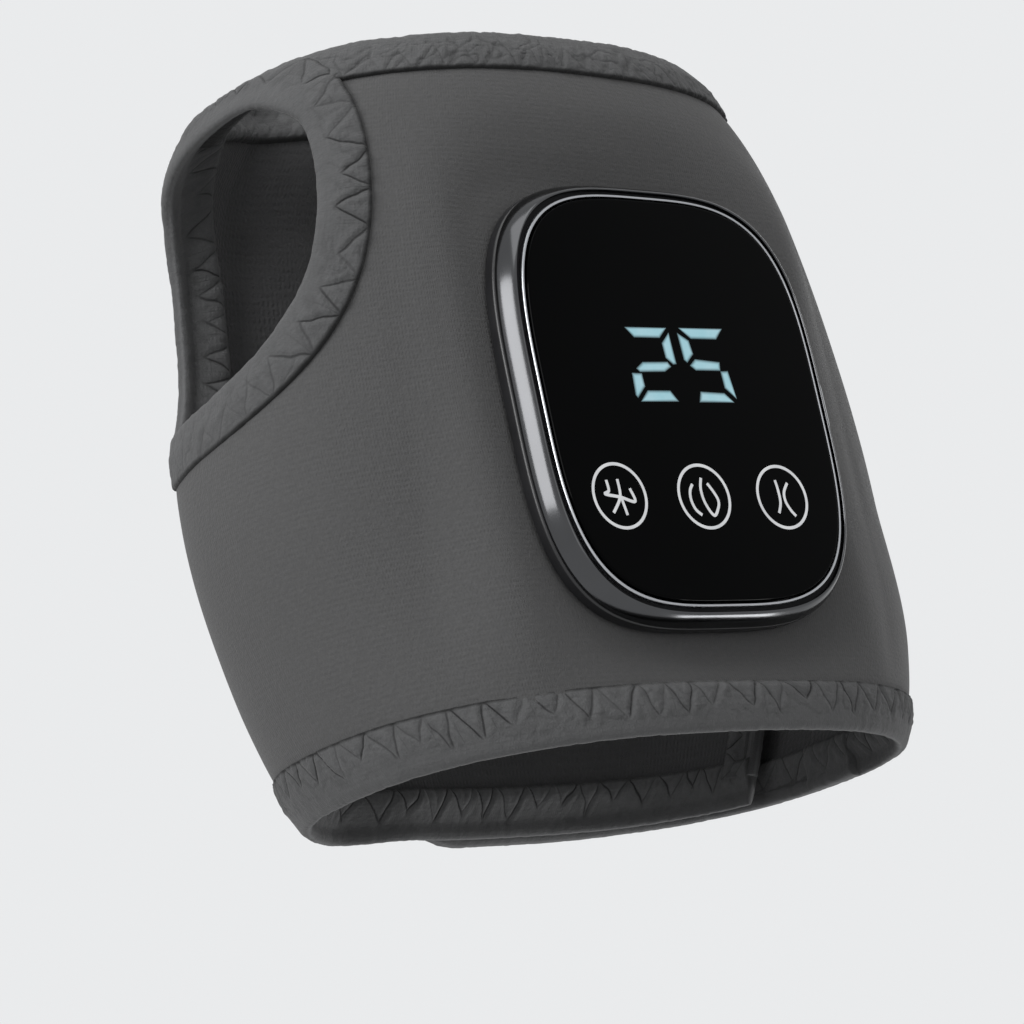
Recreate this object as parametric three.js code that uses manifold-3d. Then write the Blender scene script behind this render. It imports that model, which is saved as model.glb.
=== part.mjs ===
// Heated ankle massager: a padded wrap that closes round the ankle, open at the heel, with a flat control
// module on its lateral side. The module holds the display, the touch keys, the battery, the charging
// socket and a vibration motor, and two thin films in the wrap give the heat.
// Millimetres, +Z up. The wrap stands on its bottom rim, the heel points to -X and the module faces -Y.
import * as THREE from 'three';
import { mergeVertices } from 'three/addons/utils/BufferGeometryUtils.js';
import Module from 'manifold-3d';

const wasm = await Module();
wasm.setup();

// Wrap: size at its widest, and the height of its top rim on the lateral side. The rim stands higher at the
// front than at the heel, and highest on the medial side, where it rises between two sines of its place.
const wrapLength = 123;
const wrapWidth = 68;
const wrapHeight = 114;
const rimRise = 2;
const medialRise = 10;
const medialStart = -0.1;
const medialEnd = 0.9;
const roundness = 2.4;

// Cross-sections from the bottom rim up, as shares of the height, half the length and half the width.
const sectionShares = [
  { height: 0, shiftX: -0.016, shiftY: 0.176, halfX: 0.813, halfY: 1.088 },
  { height: 0.175, shiftX: 0, shiftY: 0.235, halfX: 0.951, halfY: 1.059 },
  { height: 0.368, shiftX: -0.049, shiftY: 0.206, halfX: 1, halfY: 1 },
  { height: 0.561, shiftX: -0.081, shiftY: 0.162, halfX: 0.984, halfY: 0.971 },
  { height: 0.754, shiftX: -0.114, shiftY: 0.132, halfX: 0.919, halfY: 0.985 },
  { height: 0.895, shiftX: -0.122, shiftY: 0.147, halfX: 0.829, halfY: 0.956 },
  { height: 1.035, shiftX: -0.098, shiftY: 0.176, halfX: 0.667, halfY: 0.824 },
  { height: 1.15, shiftX: -0.078, shiftY: 0.2, halfX: 0.534, halfY: 0.716 },
];

// Layers of the wall, from the outside in. The seat is the gap between pieces that rest on each other.
const seat = 0.3;
const shellThickness = 2.2;
const filmGap = 1;
const filmThickness = 0.4;
const liningThickness = 1.2;
const patchThickness = 0.8;

// Edge binding: a folded tape that hugs both faces of the wall.
const bandWidth = 7.2;
const hemWidth = 1.5;
const tapeThickness = 0.6;
const tapeSlack = 0.5;

// Places round the wrap in degrees: 0 front, 90 lateral side, 180 heel, 270 medial side.
const foldAngle = 0;
const foldGapAngle = 0.5;
const flapFreeAngle = -105;
const innerEndAngle = 338;
const flapCornerRadius = 14;

// Behind the flap the inner end of the wrap is tucked in, between these angles and by this depth.
const tuckStartAngle = 230;
const tuckEndAngle = 253;
const tuckDepth = 6.3;

// Heel opening, a rounded hole in the back of the wrap.
const heelAngle = 182;
const heelHalfAngle = 39;
const heelHalfHeight = 23.5;
const heelRimGap = 7.5;
const heelTilt = -3.5;
const heelCentreHeight = wrapHeight - heelRimGap - heelHalfHeight;
const heelRoundness = 2.4;

// Places of the heating films, the temperature sensor and the two patches of the closure. Each covers the
// cells of the wall's own grid that lie between its angles.
const frontFilmAngles = [8, 48];
const medialFilmAngles = [254, 326];
const sensorAngles = [62, 74];
const hookPatchAngles = [-88, -34];
const loopPatchAngles = [262, 324];

// Control module: a squared-off oval whose depths are measured out from its seat on the wrap.
const lensHalfWidth = 27;
const lensHalfHeight = 31.8;
const lensRoundness = 3.5;
const lensThickness = 0.9;
const lensBevel = 0.3;
const standOff = 6.2;
const moduleX = -4.4;
const moduleZ = 50.9;
const moduleSeatY = -26;
const moduleSpin = 1.3;
const seatMargin = 7.5;
const seatFade = 12;
const seatRoundness = 6;
const gasketWidth = 1.4;
const gasketThickness = 0.3;
const trimWidth = 0.7;
const trimLedgeWidth = 1.8;
const trimLedgeThickness = 0.7;
const grooveWidth = 0.4;
const bezelWidth = 1.6;
const bezelDrop = 0.5;
const bezelShoulder = 1.2;
const bezelLedgeWidth = 1.2;
const bezelLedgeThickness = 0.8;
const bezelSkirtWidth = 0.7;
const housingOverhang = 0.2;
const housingHeight = 2.2;
const housingWall = 1.2;
const flangeThickness = 0.9;
const tubInset = 4;
const tubDepth = 9.2;
const clampThickness = 1.2;
const clampMargin = 0.8;

// Screws of the module. An inset is how far in from the lens edge a piece or its middle lies.
const screwRadius = 0.7;
const screwHeadRadius = 1.4;
const screwHeadHeight = 0.8;
const bossRadius = 1.7;
const clampScrewInset = 1.4;
const boardScrewLength = 4;
const upperBossX = 9;
const upperBossInset = 8.4;
const lowerBossInset = 25.3;
const lowerBossSideInset = 8.7;

// Pieces inside the module, placed in its own frame: x to the front and y up from the lens centre.
const boardThickness = 1;
const boardMargin = 0.3;
const displayWidth = 26;
const displayHeight = 15;
const displayCentreY = 5.2;
const segmentRise = 0.2;
const segmentWidth = 1.3;
const segmentGap = 0.25;
const digitWidth = 6.4;
const digitHeight = 10.2;
const digitPitch = 11.4;
const keyPitch = 16.1;
const keyInset = 16.4;
const keyRingRadius = 5.2;
const keyRingWidth = 0.8;
const keyRingThickness = 0.35;
const springRadius = 3.2;
const springWire = 0.5;
const springTurns = 2.5;
const batterySideInset = 11.5;
const batteryTopInset = 11.3;
const batteryBottomInset = 23.3;
const batteryThickness = 5.6;
const batteryCorner = 2;
const motorRadius = 3;
const motorLength = 13;
const motorCentreX = -3;
const motorInset = 13.8;
const shaftRadius = 0.5;
const shaftInset = 2;
const weightRadius = 2.6;
const weightLength = 4.2;
const weightGap = 1;
const saddleWall = 1.4;
const saddleLength = 9;
const saddleFloor = 0.6;
const socketWidth = 8.94;
const socketHeight = 3.26;
const socketDepth = 9.2;
const socketWall = 0.35;
const socketBack = 2.5;
const tongueWidth = 6.6;
const tongueHeight = 0.7;
const tongueInset = 1;

// Fineness of the surfaces, in degrees and in counts, and the overrun of every cut.
const coarseStepAngle = 10.5;
const fineStepAngle = 8.2;
const fineFromAngle = 48;
const fineToAngle = 255;
const endSpanAngle = 14;
const endStepAngle = 4.7;
const lipSegments = 40;
const moduleSegments = 28;
const roundSides = 8;
const ringSides = 20;
const overrun = 3.5;
const plugDepth = 8;

const degrees = Math.PI / 180;

// Surface of the wrap

// Smooth value of one column of the section table at a share of the height.
function sectionValue(key, share) {
  const last = sectionShares.length - 1;
  let i = 0;
  while (i < last - 1 && share > sectionShares[i + 1].height) i += 1;
  const slope = (j) => {
    const before = sectionShares[Math.max(j - 1, 0)];
    const after = sectionShares[Math.min(j + 1, last)];
    return (after[key] - before[key]) / (after.height - before.height);
  };
  const low = sectionShares[i];
  const high = sectionShares[i + 1];
  const step = high.height - low.height;
  const t = THREE.MathUtils.clamp((share - low.height) / step, 0, 1);
  const blended = THREE.MathUtils.lerp(low[key], high[key], t * t * (3 - 2 * t));
  return blended + step * (t * (1 - t) * (1 - t) * slope(i) + t * t * (t - 1) * slope(i + 1));
}

// Sine or cosine raised to the power that squares off a round.
const squared = (value, power) => Math.sign(value) * Math.abs(value) ** (2 / power);

// 1 inside the module's outline grown by `inner`, fading to 0 where it is grown by `outer`.
function modulePresence(x, z, inner, outer) {
  const across = Math.abs((x - moduleX) / (lensHalfWidth + inner)) ** seatRoundness;
  const upwards = Math.abs((z - moduleZ) / (lensHalfHeight + inner)) ** seatRoundness;
  const reach = (lensHalfWidth + outer) / (lensHalfWidth + inner);
  return 1 - THREE.MathUtils.smoothstep((across + upwards) ** (1 / seatRoundness), 1, reach);
}

// Point on the outer face of the wrap, which is pressed flat where the module sits.
function facePoint(angle, z) {
  const share = z / wrapHeight;
  const cosine = squared(Math.cos(angle * degrees), roundness);
  const sine = squared(Math.sin(angle * degrees), roundness);
  const x = (sectionValue('shiftX', share) + sectionValue('halfX', share) * cosine) * wrapLength / 2;
  const free = (sectionValue('shiftY', share) - sectionValue('halfY', share) * sine) * wrapWidth / 2;
  const pressed = sine > 0 ? modulePresence(x, z, seatMargin, seatFade) : 0;
  return new THREE.Vector3(x, THREE.MathUtils.lerp(free, moduleSeatY, pressed), z);
}

// Steps of the numeric slopes, in degrees and as a share of the height.
const slopeAngle = 2;
const slopeShare = 0.01;

// Direction out of the wall, level with the ground so that every layer keeps its rim in one plane.
function outward(angle, z) {
  const along = facePoint(angle + slopeAngle, z).sub(facePoint(angle - slopeAngle, z));
  const rise = slopeShare * wrapHeight;
  const upwards = facePoint(angle, z + rise).sub(facePoint(angle, z - rise));
  return upwards.cross(along).setZ(0).normalize();
}

// Point of the wall at a depth in from the outer face, moved in where the inner end is tucked.
function wallPoint(angle, z, depth) {
  const tuck = tuckDepth * THREE.MathUtils.smoothstep(angle, tuckStartAngle, tuckEndAngle);
  return facePoint(angle, z).addScaledVector(outward(angle, z), -(depth + tuck));
}

// Millimetres along the wall for one degree round it.
const degreePitch = (angle, z) => (
  facePoint(angle + slopeAngle, z).distanceTo(facePoint(angle - slopeAngle, z)) / (2 * slopeAngle));

// The layers end where the binding's fold begins, at both rims.
const foldHeight = seat + tapeThickness;
const medialShare = (angle) => THREE.MathUtils.smoothstep(-Math.sin(angle * degrees), medialStart, medialEnd);
const topRim = (angle) => wrapHeight + rimRise * Math.cos(angle * degrees) + medialRise * medialShare(angle);
const wallLow = () => foldHeight;
const wallHigh = (angle) => topRim(angle) - foldHeight;
const wallThickness = shellThickness + filmGap + liningThickness;

// Mesh building

function indexedGeometry(points, indices) {
  const geometry = new THREE.BufferGeometry();
  const numbers = points.flatMap((point) => point.toArray());
  geometry.setAttribute('position', new THREE.Float32BufferAttribute(numbers, 3));
  geometry.setIndex(indices);
  return geometry;
}

// Turns a closed geometry round if its faces point in.
function facingOut(geometry) {
  const position = geometry.getAttribute('position');
  const index = geometry.getIndex();
  const corner = (i) => new THREE.Vector3().fromBufferAttribute(position, index.getX(i));
  let volume = 0;
  for (let i = 0; i < index.count; i += 3) volume += corner(i).dot(corner(i + 1).cross(corner(i + 2)));
  if (volume < 0) index.array.reverse();
  return geometry;
}

// Faces that join each ring of points to the next, and the last to the first where they close.
function ringFaces(rings, size, closed) {
  const indices = [];
  const joints = closed ? rings : rings - 1;
  for (let i = 0; i < joints; i += 1) {
    const here = i * size;
    const next = ((i + 1) % rings) * size;
    for (let j = 0; j < size; j += 1) {
      const k = (j + 1) % size;
      indices.push(here + j, next + j, next + k, here + j, next + k, here + k);
    }
  }
  return indices;
}

// Rings joined into a closed loop.
function loopGeometry(rings) {
  return facingOut(indexedGeometry(rings.flat(), ringFaces(rings.length, rings[0].length, true)));
}

// Rings joined into a solid whose ends are fans to a middle point.
function stackGeometry(rings, firstCentre, lastCentre) {
  const size = rings[0].length;
  const indices = ringFaces(rings.length, size, false);
  const first = rings.length * size;
  const end = first - size;
  for (let j = 0; j < size; j += 1) {
    const k = (j + 1) % size;
    indices.push(first, j, k, first + 1, end + k, end + j);
  }
  return facingOut(indexedGeometry([...rings.flat(), firstCentre, lastCentre], indices));
}

// Rings joined into a bar whose ends are flat polygons.
function barOfRings(rings) {
  const size = rings[0].length;
  const indices = ringFaces(rings.length, size, false);
  const end = (rings.length - 1) * size;
  THREE.ShapeUtils.triangulateShape(flatOutline(rings[0]), []).forEach(([a, b, c]) => {
    indices.push(a, b, c, end + a, end + c, end + b);
  });
  return facingOut(indexedGeometry(rings.flat(), indices));
}

// A ring of points seen square on, anticlockwise.
function flatOutline(ring) {
  const normal = new THREE.Vector3();
  ring.forEach((point, i) => {
    const next = ring[(i + 1) % ring.length].clone().sub(ring[0]);
    normal.add(point.clone().sub(ring[0]).cross(next));
  });
  const side = ring[1].clone().sub(ring[0]).normalize();
  const across = normal.normalize().clone().cross(side);
  return ring.map((point) => {
    const from = point.clone().sub(ring[0]);
    return new THREE.Vector2(from.dot(side), from.dot(across));
  });
}

// Heights of the wall's grid between two rims: at the edge of each band, round the flat that the module is
// pressed on, and just past its tub.
const flatReach = lensHalfHeight + seatMargin;
const tubReach = lensHalfHeight - tubInset / 2;
const moduleRows = [-flatReach, -tubReach, -tubReach / 2, 0, tubReach / 2, tubReach, flatReach];
const lastRow = rowHeights(0, wrapHeight).length - 1;

function rowHeights(low, high) {
  const neck = (moduleZ + flatReach + high - bandWidth) / 2;
  return [low, low + bandWidth, ...moduleRows.map((y) => moduleZ + y), neck, high - bandWidth, high];
}

// Solid between two depths of the wall, over a grid of angles and rows.
function sheetGeometry({ angles, low, high, outerDepth, innerDepth, firstRow = 0, endRow = lastRow }) {
  const columns = angles.length;
  const rows = endRow - firstRow;
  const heights = (angle) => rowHeights(low(angle), high(angle)).slice(firstRow, endRow + 1);
  const points = [outerDepth, innerDepth].flatMap((depth) => (
    angles.flatMap((angle) => heights(angle).map((z) => wallPoint(angle, z, depth(angle, z))))));
  const at = (face, column, row) => (face * columns + column) * (rows + 1) + row;
  const indices = [];
  const quad = (a, b, c, d) => indices.push(a, b, c, a, c, d);
  const end = columns - 1;
  for (let i = 0; i < end; i += 1) {
    for (let j = 0; j < rows; j += 1) {
      quad(at(0, i, j), at(0, i + 1, j), at(0, i + 1, j + 1), at(0, i, j + 1));
      quad(at(1, i, j), at(1, i, j + 1), at(1, i + 1, j + 1), at(1, i + 1, j));
    }
    quad(at(0, i, 0), at(1, i, 0), at(1, i + 1, 0), at(0, i + 1, 0));
    quad(at(0, i, rows), at(0, i + 1, rows), at(1, i + 1, rows), at(1, i, rows));
  }
  for (let j = 0; j < rows; j += 1) {
    quad(at(0, 0, j), at(0, 0, j + 1), at(1, 0, j + 1), at(1, 0, j));
    quad(at(0, end, j), at(1, end, j), at(1, end, j + 1), at(0, end, j + 1));
  }
  return facingOut(indexedGeometry(points, indices));
}

// Even steps from one angle to another, both ends included.
function anglesBetween(from, to, step) {
  const count = Math.max(1, Math.round(Math.abs(to - from) / step));
  return Array.from({ length: count + 1 }, (_, i) => THREE.MathUtils.lerp(from, to, i / count));
}

// Booleans

function toSolid(geometry) {
  const bare = geometry.clone();
  bare.deleteAttribute('normal');
  bare.deleteAttribute('uv');
  const merged = mergeVertices(bare);
  return new wasm.Manifold(new wasm.Mesh({
    numProp: 3,
    vertProperties: new Float32Array(merged.getAttribute('position').array),
    triVerts: new Uint32Array(merged.getIndex().array),
  }));
}

function toGeometry(solid) {
  const mesh = solid.getMesh();
  const geometry = new THREE.BufferGeometry();
  geometry.setAttribute('position', new THREE.Float32BufferAttribute(mesh.vertProperties, 3));
  geometry.setIndex([...mesh.triVerts]);
  return geometry;
}

const cut = (geometry, ...tools) => (
  toGeometry(tools.reduce((solid, tool) => solid.subtract(toSolid(tool)), toSolid(geometry))));
const join = (geometry, ...others) => (
  toGeometry(others.reduce((solid, other) => solid.add(toSolid(other)), toSolid(geometry))));

// Wall of the wrap

const wallAngles = [
  ...anglesBetween(foldAngle, fineFromAngle, coarseStepAngle),
  ...anglesBetween(fineFromAngle, fineToAngle, fineStepAngle).slice(1),
  ...anglesBetween(fineToAngle, innerEndAngle - endSpanAngle, coarseStepAngle).slice(1),
  ...anglesBetween(innerEndAngle - endSpanAngle, innerEndAngle, endStepAngle).slice(1),
];

// The lining's outer face runs round the part of the module that stands inside the wrap.
const liningMargin = 0.5;
const liningFade = 9;

function liningDepth(angle, z) {
  const flat = shellThickness + filmGap;
  if (Math.sin(angle * degrees) <= 0) return flat;
  const { x } = facePoint(angle, z);
  return THREE.MathUtils.lerp(flat, tubDepth + seat, modulePresence(x, z, liningMargin, liningFade));
}

// Point on the edge of the heel opening, `share` of the way out from its middle.
function heelPlace(turn, share = 1) {
  const across = share * squared(Math.cos(turn), heelRoundness);
  const upwards = share * squared(Math.sin(turn), heelRoundness);
  return {
    angle: heelAngle + across * heelHalfAngle,
    z: heelCentreHeight + across * heelTilt + upwards * heelHalfHeight,
  };
}

const lipTurns = Array.from({ length: lipSegments }, (_, i) => (i / lipSegments) * 2 * Math.PI);

// Plug in the shape of the heel opening, built in rings so that it follows the wall.
function heelPlug() {
  const discRings = 6;
  const disc = (depth) => Array.from({ length: discRings }, (_, ring) => lipTurns.map((turn) => {
    const { angle, z } = heelPlace(turn, (ring + 1) / discRings);
    return wallPoint(angle, z, depth);
  }));
  return stackGeometry(
    [...disc(-overrun), ...disc(plugDepth).reverse()],
    wallPoint(heelAngle, heelCentreHeight, -overrun),
    wallPoint(heelAngle, heelCentreHeight, plugDepth),
  );
}

function outerShell() {
  const wall = sheetGeometry({
    angles: wallAngles,
    low: wallLow,
    high: wallHigh,
    outerDepth: () => 0,
    innerDepth: () => shellThickness,
  });
  const behind = -shellThickness - overrun;
  const aperture = modulePlate([[tubInset - seat, overrun], [tubInset - seat, behind]]);
  const screwHoles = clampScrewPlaces.map(({ x, y }) => bar(x, y, screwRadius + seat, behind, overrun));
  return cut(wall, heelPlug(), ...[aperture, ...screwHoles].map((tool) => tool.applyMatrix4(modulePlace)));
}

function innerLining() {
  const wall = sheetGeometry({
    angles: wallAngles,
    low: wallLow,
    high: wallHigh,
    outerDepth: liningDepth,
    innerDepth: (angle, z) => liningDepth(angle, z) + liningThickness,
  });
  return cut(wall, heelPlug());
}

// Thin patch on some cells of the wall's grid, or of the flap's.
function patch(columns, [from, to], [firstRow, endRow], outerDepth, thickness) {
  return sheetGeometry({
    angles: columns.filter((angle) => angle > from && angle < to),
    low: wallLow,
    high: wallHigh,
    firstRow,
    endRow,
    outerDepth: () => outerDepth,
    innerDepth: () => outerDepth + thickness,
  });
}

// Edge bindings

// Cross-section of the folded tape: [distance into the wall from its edge, depth]. Where the wall curves
// away from the edge, the band is bent along its middle and lies looser.
function tapeProfile(band, thickness, bent) {
  const outer = bent ? -seat - tapeSlack : -seat;
  const inner = thickness + seat + tapeSlack;
  return [
    [band, outer],
    [band, outer - tapeThickness],
    ...(bent ? [[band / 2, outer - tapeThickness]] : []),
    [0, outer - tapeThickness],
    [-foldHeight, outer],
    [-foldHeight, inner],
    [0, inner + tapeThickness],
    ...(bent ? [[band / 2, inner + tapeThickness]] : []),
    [band, inner + tapeThickness],
    [band, inner],
    ...(bent ? [[band / 2, inner]] : []),
    [-seat, inner],
    [-seat, outer],
    ...(bent ? [[band / 2, outer]] : []),
  ];
}

// Rings of tape along an edge. Each place on it says which way the wall lies, and how wide the band is.
function tapeRings(edge, thickness, bent = true) {
  return edge.map(({ angle, z, alongAngle, alongZ, band }) => (
    tapeProfile(band, thickness, bent).map(([distance, depth]) => wallPoint(
      angle + distance * alongAngle / degreePitch(angle, z), z + distance * alongZ, depth))));
}

// Over the heel opening the top band narrows to a hem, because the heel binding takes its place.
const hemReach = 5;
const hemFadeAngle = 14;

function topBand(angle) {
  const away = Math.abs(angle - heelAngle);
  const share = THREE.MathUtils.smoothstep(away, heelHalfAngle - hemReach, heelHalfAngle + hemFadeAngle);
  return THREE.MathUtils.lerp(hemWidth, bandWidth, share);
}

const bottomBinding = () => barOfRings(tapeRings(wallAngles.map((angle) => (
  { angle, z: wallLow(), alongAngle: 0, alongZ: 1, band: bandWidth })), wallThickness, false));

const topBinding = () => barOfRings(tapeRings(wallAngles.map((angle) => (
  { angle, z: wallHigh(angle), alongAngle: 0, alongZ: -1, band: topBand(angle) })), wallThickness, false));

function heelBinding() {
  const edge = lipTurns.map((turn) => {
    const { angle, z } = heelPlace(turn);
    const before = heelPlace(turn - Math.PI / lipSegments);
    const after = heelPlace(turn + Math.PI / lipSegments);
    const pitch = degreePitch(angle, z);
    const away = new THREE.Vector2(after.z - before.z, (before.angle - after.angle) * pitch).normalize();
    const room = wallHigh(angle) - topBand(angle) - 2 * seat - z;
    const band = away.y > 0 ? Math.min(bandWidth, room / away.y) : bandWidth;
    return { angle, z, alongAngle: away.x, alongZ: away.y, band };
  });
  return loopGeometry(tapeRings(edge, wallThickness));
}

// Tape down the inner end, between the bands of the two rims.
function innerEndBinding() {
  const heights = rowHeights(wallLow(), wallHigh(innerEndAngle)).slice(1, -1);
  const last = heights.length - 1;
  heights[0] += 2 * seat;
  heights[last] -= 2 * seat;
  const edge = heights.map((z) => ({ angle: innerEndAngle, z, alongAngle: -1, alongZ: 0, band: bandWidth }));
  return barOfRings(tapeRings(edge, wallThickness));
}

// Closure flap, with two rounded corners at its free end

const flapThickness = shellThickness + seat + liningThickness;
const flapRootAngle = foldAngle - foldGapAngle;
const flapPitch = degreePitch(flapFreeAngle, wrapHeight / 2);
const flapCornerSteps = 5;

// Distance from the free end as a share of the corner radius: 0 at the end, 1 where the corner is over.
const cornerShare = (angle) => (
  THREE.MathUtils.clamp((angle - flapFreeAngle) * flapPitch / flapCornerRadius, 0, 1));
const cornerTilt = (angle) => Math.acos(1 - cornerShare(angle));
const cornerLoss = (angle) => flapCornerRadius * (1 - Math.sin(cornerTilt(angle)));
const flapLow = (angle) => wallLow() + cornerLoss(angle);
const flapHigh = (angle) => wallHigh(angle) - cornerLoss(angle);

const cornerSpan = flapCornerRadius / flapPitch;
const flapAngles = [
  ...Array.from({ length: flapCornerSteps }, (_, i) => (
    flapFreeAngle + cornerSpan * (1 - Math.cos((i / flapCornerSteps) * Math.PI / 2)))),
  ...anglesBetween(flapFreeAngle + cornerSpan, flapRootAngle, coarseStepAngle),
];

const flapSheet = (outerDepth, thickness) => sheetGeometry({
  angles: flapAngles,
  low: flapLow,
  high: flapHigh,
  outerDepth: () => outerDepth,
  innerDepth: () => outerDepth + thickness,
});

// One tape goes along the bottom of the flap, up its free end and back along the top.
function flapBinding() {
  const place = (angle, isTop) => ({
    angle,
    z: isTop ? flapHigh(angle) : flapLow(angle),
    alongAngle: Math.cos(cornerTilt(angle)),
    alongZ: (isTop ? -1 : 1) * Math.sin(cornerTilt(angle)),
    band: bandWidth,
  });
  const bottom = flapAngles.map((angle) => place(angle, false)).reverse();
  const top = flapAngles.map((angle) => place(angle, true));
  const endHeights = rowHeights(flapLow(flapFreeAngle), flapHigh(flapFreeAngle));
  const end = endHeights.slice(3, -1).map((z) => ({ ...top[0], z }));
  return barOfRings(tapeRings([...bottom, ...end, ...top], flapThickness));
}

// Outlines of the module

// The module's own frame: x to the front, y up, z out of the wrap.
const modulePlace = new THREE.Matrix4()
  .makeTranslation(moduleX, moduleSeatY, moduleZ)
  .multiply(new THREE.Matrix4().makeRotationX(90 * degrees))
  .multiply(new THREE.Matrix4().makeRotationZ(moduleSpin * degrees));

// Point on the module's outline, moved in from the lens edge.
function outlinePoint(turn, inset, depth) {
  return new THREE.Vector3(
    (lensHalfWidth - inset) * squared(Math.cos(turn), lensRoundness),
    (lensHalfHeight - inset) * squared(Math.sin(turn), lensRoundness),
    depth,
  );
}

const moduleTurns = Array.from({ length: moduleSegments }, (_, i) => (i / moduleSegments) * 2 * Math.PI);
const outlineRings = (profile) => (
  profile.map(([inset, depth]) => moduleTurns.map((turn) => outlinePoint(turn, inset, depth))));

// Frame swept round the outline from a closed profile of [inset, depth].
const moduleFrame = (profile) => loopGeometry(outlineRings(profile));

// Plate or tub swept from a profile whose first and last points are joined to the middle.
const modulePlate = (profile) => stackGeometry(
  outlineRings(profile),
  new THREE.Vector3(0, 0, profile[0][1]),
  new THREE.Vector3(0, 0, profile[profile.length - 1][1]),
);

// Round bar, flat ring and box, standing between two depths of the module.
const bar = (x, y, radius, bottom, top) => (
  new THREE.CylinderGeometry(radius, radius, top - bottom, roundSides)
    .rotateX(90 * degrees)
    .translate(x, y, (bottom + top) / 2));

function flatRing(x, y, outer, inner, bottom, top) {
  const corners = [[inner, bottom], [outer, bottom], [outer, top], [inner, top], [inner, bottom]];
  return new THREE.LatheGeometry(corners.map(([r, z]) => new THREE.Vector2(r, z)), ringSides)
    .rotateX(90 * degrees)
    .translate(x, y, 0);
}

const block = (x, y, width, height, bottom, top) => new THREE.BoxGeometry(width, height, top - bottom)
  .translate(x, y, (bottom + top) / 2);

// Depths of the module, from its seat out and from its face in

const housingBottom = seat;
const housingTop = housingBottom + housingHeight;
const flangeTop = housingBottom + flangeThickness;
const tubBottom = -tubDepth + seat;
const tubFloor = tubBottom + housingWall;
const lensTop = standOff;
const lensBottom = lensTop - lensThickness;
const gasketTop = lensBottom - seat;
const gasketBottom = gasketTop - gasketThickness;
const trimLedgeTop = gasketBottom - seat;
const trimLedgeBottom = trimLedgeTop - trimLedgeThickness;
const bezelTop = lensTop - bezelDrop;
const bezelBottom = housingTop + seat;
const bezelLedgeTop = trimLedgeBottom - seat;
const bezelLedgeBottom = bezelLedgeTop - bezelLedgeThickness;
const boardBottom = flangeTop - boardThickness;
const boardTop = boardBottom + boardThickness;

// Insets of the module from the lens edge; those outside it are negative.
const trimInner = -seat;
const trimOuter = trimInner - trimWidth;
const bezelInner = trimOuter - grooveWidth;
const bezelOuter = bezelInner - bezelWidth;
const housingOuter = bezelOuter - housingOverhang;
const housingInner = housingOuter + housingWall;
const skirtOuter = housingInner + seat;
const tubInner = tubInset + housingWall;

// Charging socket, in the front side of the module

const socketOuterX = lensHalfWidth - housingOuter - seat;
const socketInnerX = socketOuterX - socketDepth;
const socketBottom = flangeTop + seat;
const socketTop = socketBottom + socketHeight;

// Bar with round ends in the socket's section, grown or shrunk, between two places along x.
function slotBar(grow, fromX, toX) {
  const radius = socketHeight / 2 + grow;
  const straight = (socketWidth - socketHeight) / 2;
  const shape = new THREE.Shape();
  shape.absarc(straight, 0, radius, -90 * degrees, 90 * degrees, false);
  shape.absarc(-straight, 0, radius, 90 * degrees, 270 * degrees, false);
  return new THREE.ExtrudeGeometry(shape, { depth: toX - fromX, bevelEnabled: false, curveSegments: 6 })
    .rotateX(90 * degrees)
    .rotateZ(90 * degrees)
    .translate(fromX, 0, (socketBottom + socketTop) / 2);
}

const socketPort = () => slotBar(seat, socketInnerX - seat, socketOuterX + overrun);

function usbSocket() {
  const shell = cut(
    slotBar(0, socketInnerX, socketOuterX),
    slotBar(-socketWall, socketInnerX + socketBack, socketOuterX + overrun),
  );
  const middle = (socketBottom + socketTop) / 2;
  const tongueFrom = socketInnerX + socketBack / 2;
  const tongueTo = socketOuterX - tongueInset;
  const tongue = block(
    (tongueFrom + tongueTo) / 2,
    0,
    tongueTo - tongueFrom,
    tongueWidth,
    middle - tongueHeight / 2,
    middle + tongueHeight / 2,
  );
  return join(shell, tongue);
}

// Screws

const clampScrewPlaces = [45, 135, 225, 315].map((turn) => outlinePoint(turn * degrees, clampScrewInset, 0));
const upperBossY = lensHalfHeight - upperBossInset;
const lowerBossX = lensHalfWidth - lowerBossSideInset;
const lowerBossY = lowerBossInset - lensHalfHeight;
const boardScrewPlaces = [
  [-upperBossX, upperBossY],
  [upperBossX, upperBossY],
  [-lowerBossX, lowerBossY],
  [lowerBossX, lowerBossY],
];

// Screw with its head at one depth and its point at another, either way up.
function screw(x, y, headDepth, pointDepth) {
  const away = Math.sign(pointDepth - headDepth);
  const profile = [
    [0, headDepth],
    [screwHeadRadius, headDepth],
    [screwHeadRadius, headDepth + away * screwHeadHeight],
    [screwRadius, headDepth + away * screwHeadHeight],
    [screwRadius, pointDepth],
    [0, pointDepth],
  ];
  const lathe = new THREE.LatheGeometry(profile.map(([r, z]) => new THREE.Vector2(r, z)), roundSides);
  lathe.deleteAttribute('normal');
  lathe.deleteAttribute('uv');
  return facingOut(mergeVertices(lathe).rotateX(90 * degrees).translate(x, y, 0));
}

const bossTop = bezelLedgeBottom - seat;
const clampTop = -shellThickness - seat;
const clampBottom = clampTop - clampThickness;
const clampHeadTop = clampBottom - seat;
const clampHeadBottom = clampHeadTop - screwHeadHeight;

const clampScrew = ({ x, y }) => screw(x, y, clampHeadBottom, bossTop - seat);
const boardScrew = ([x, y]) => screw(
  x, y, boardTop + seat + screwHeadHeight, boardTop + seat + screwHeadHeight - boardScrewLength);

// Casing of the module

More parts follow.
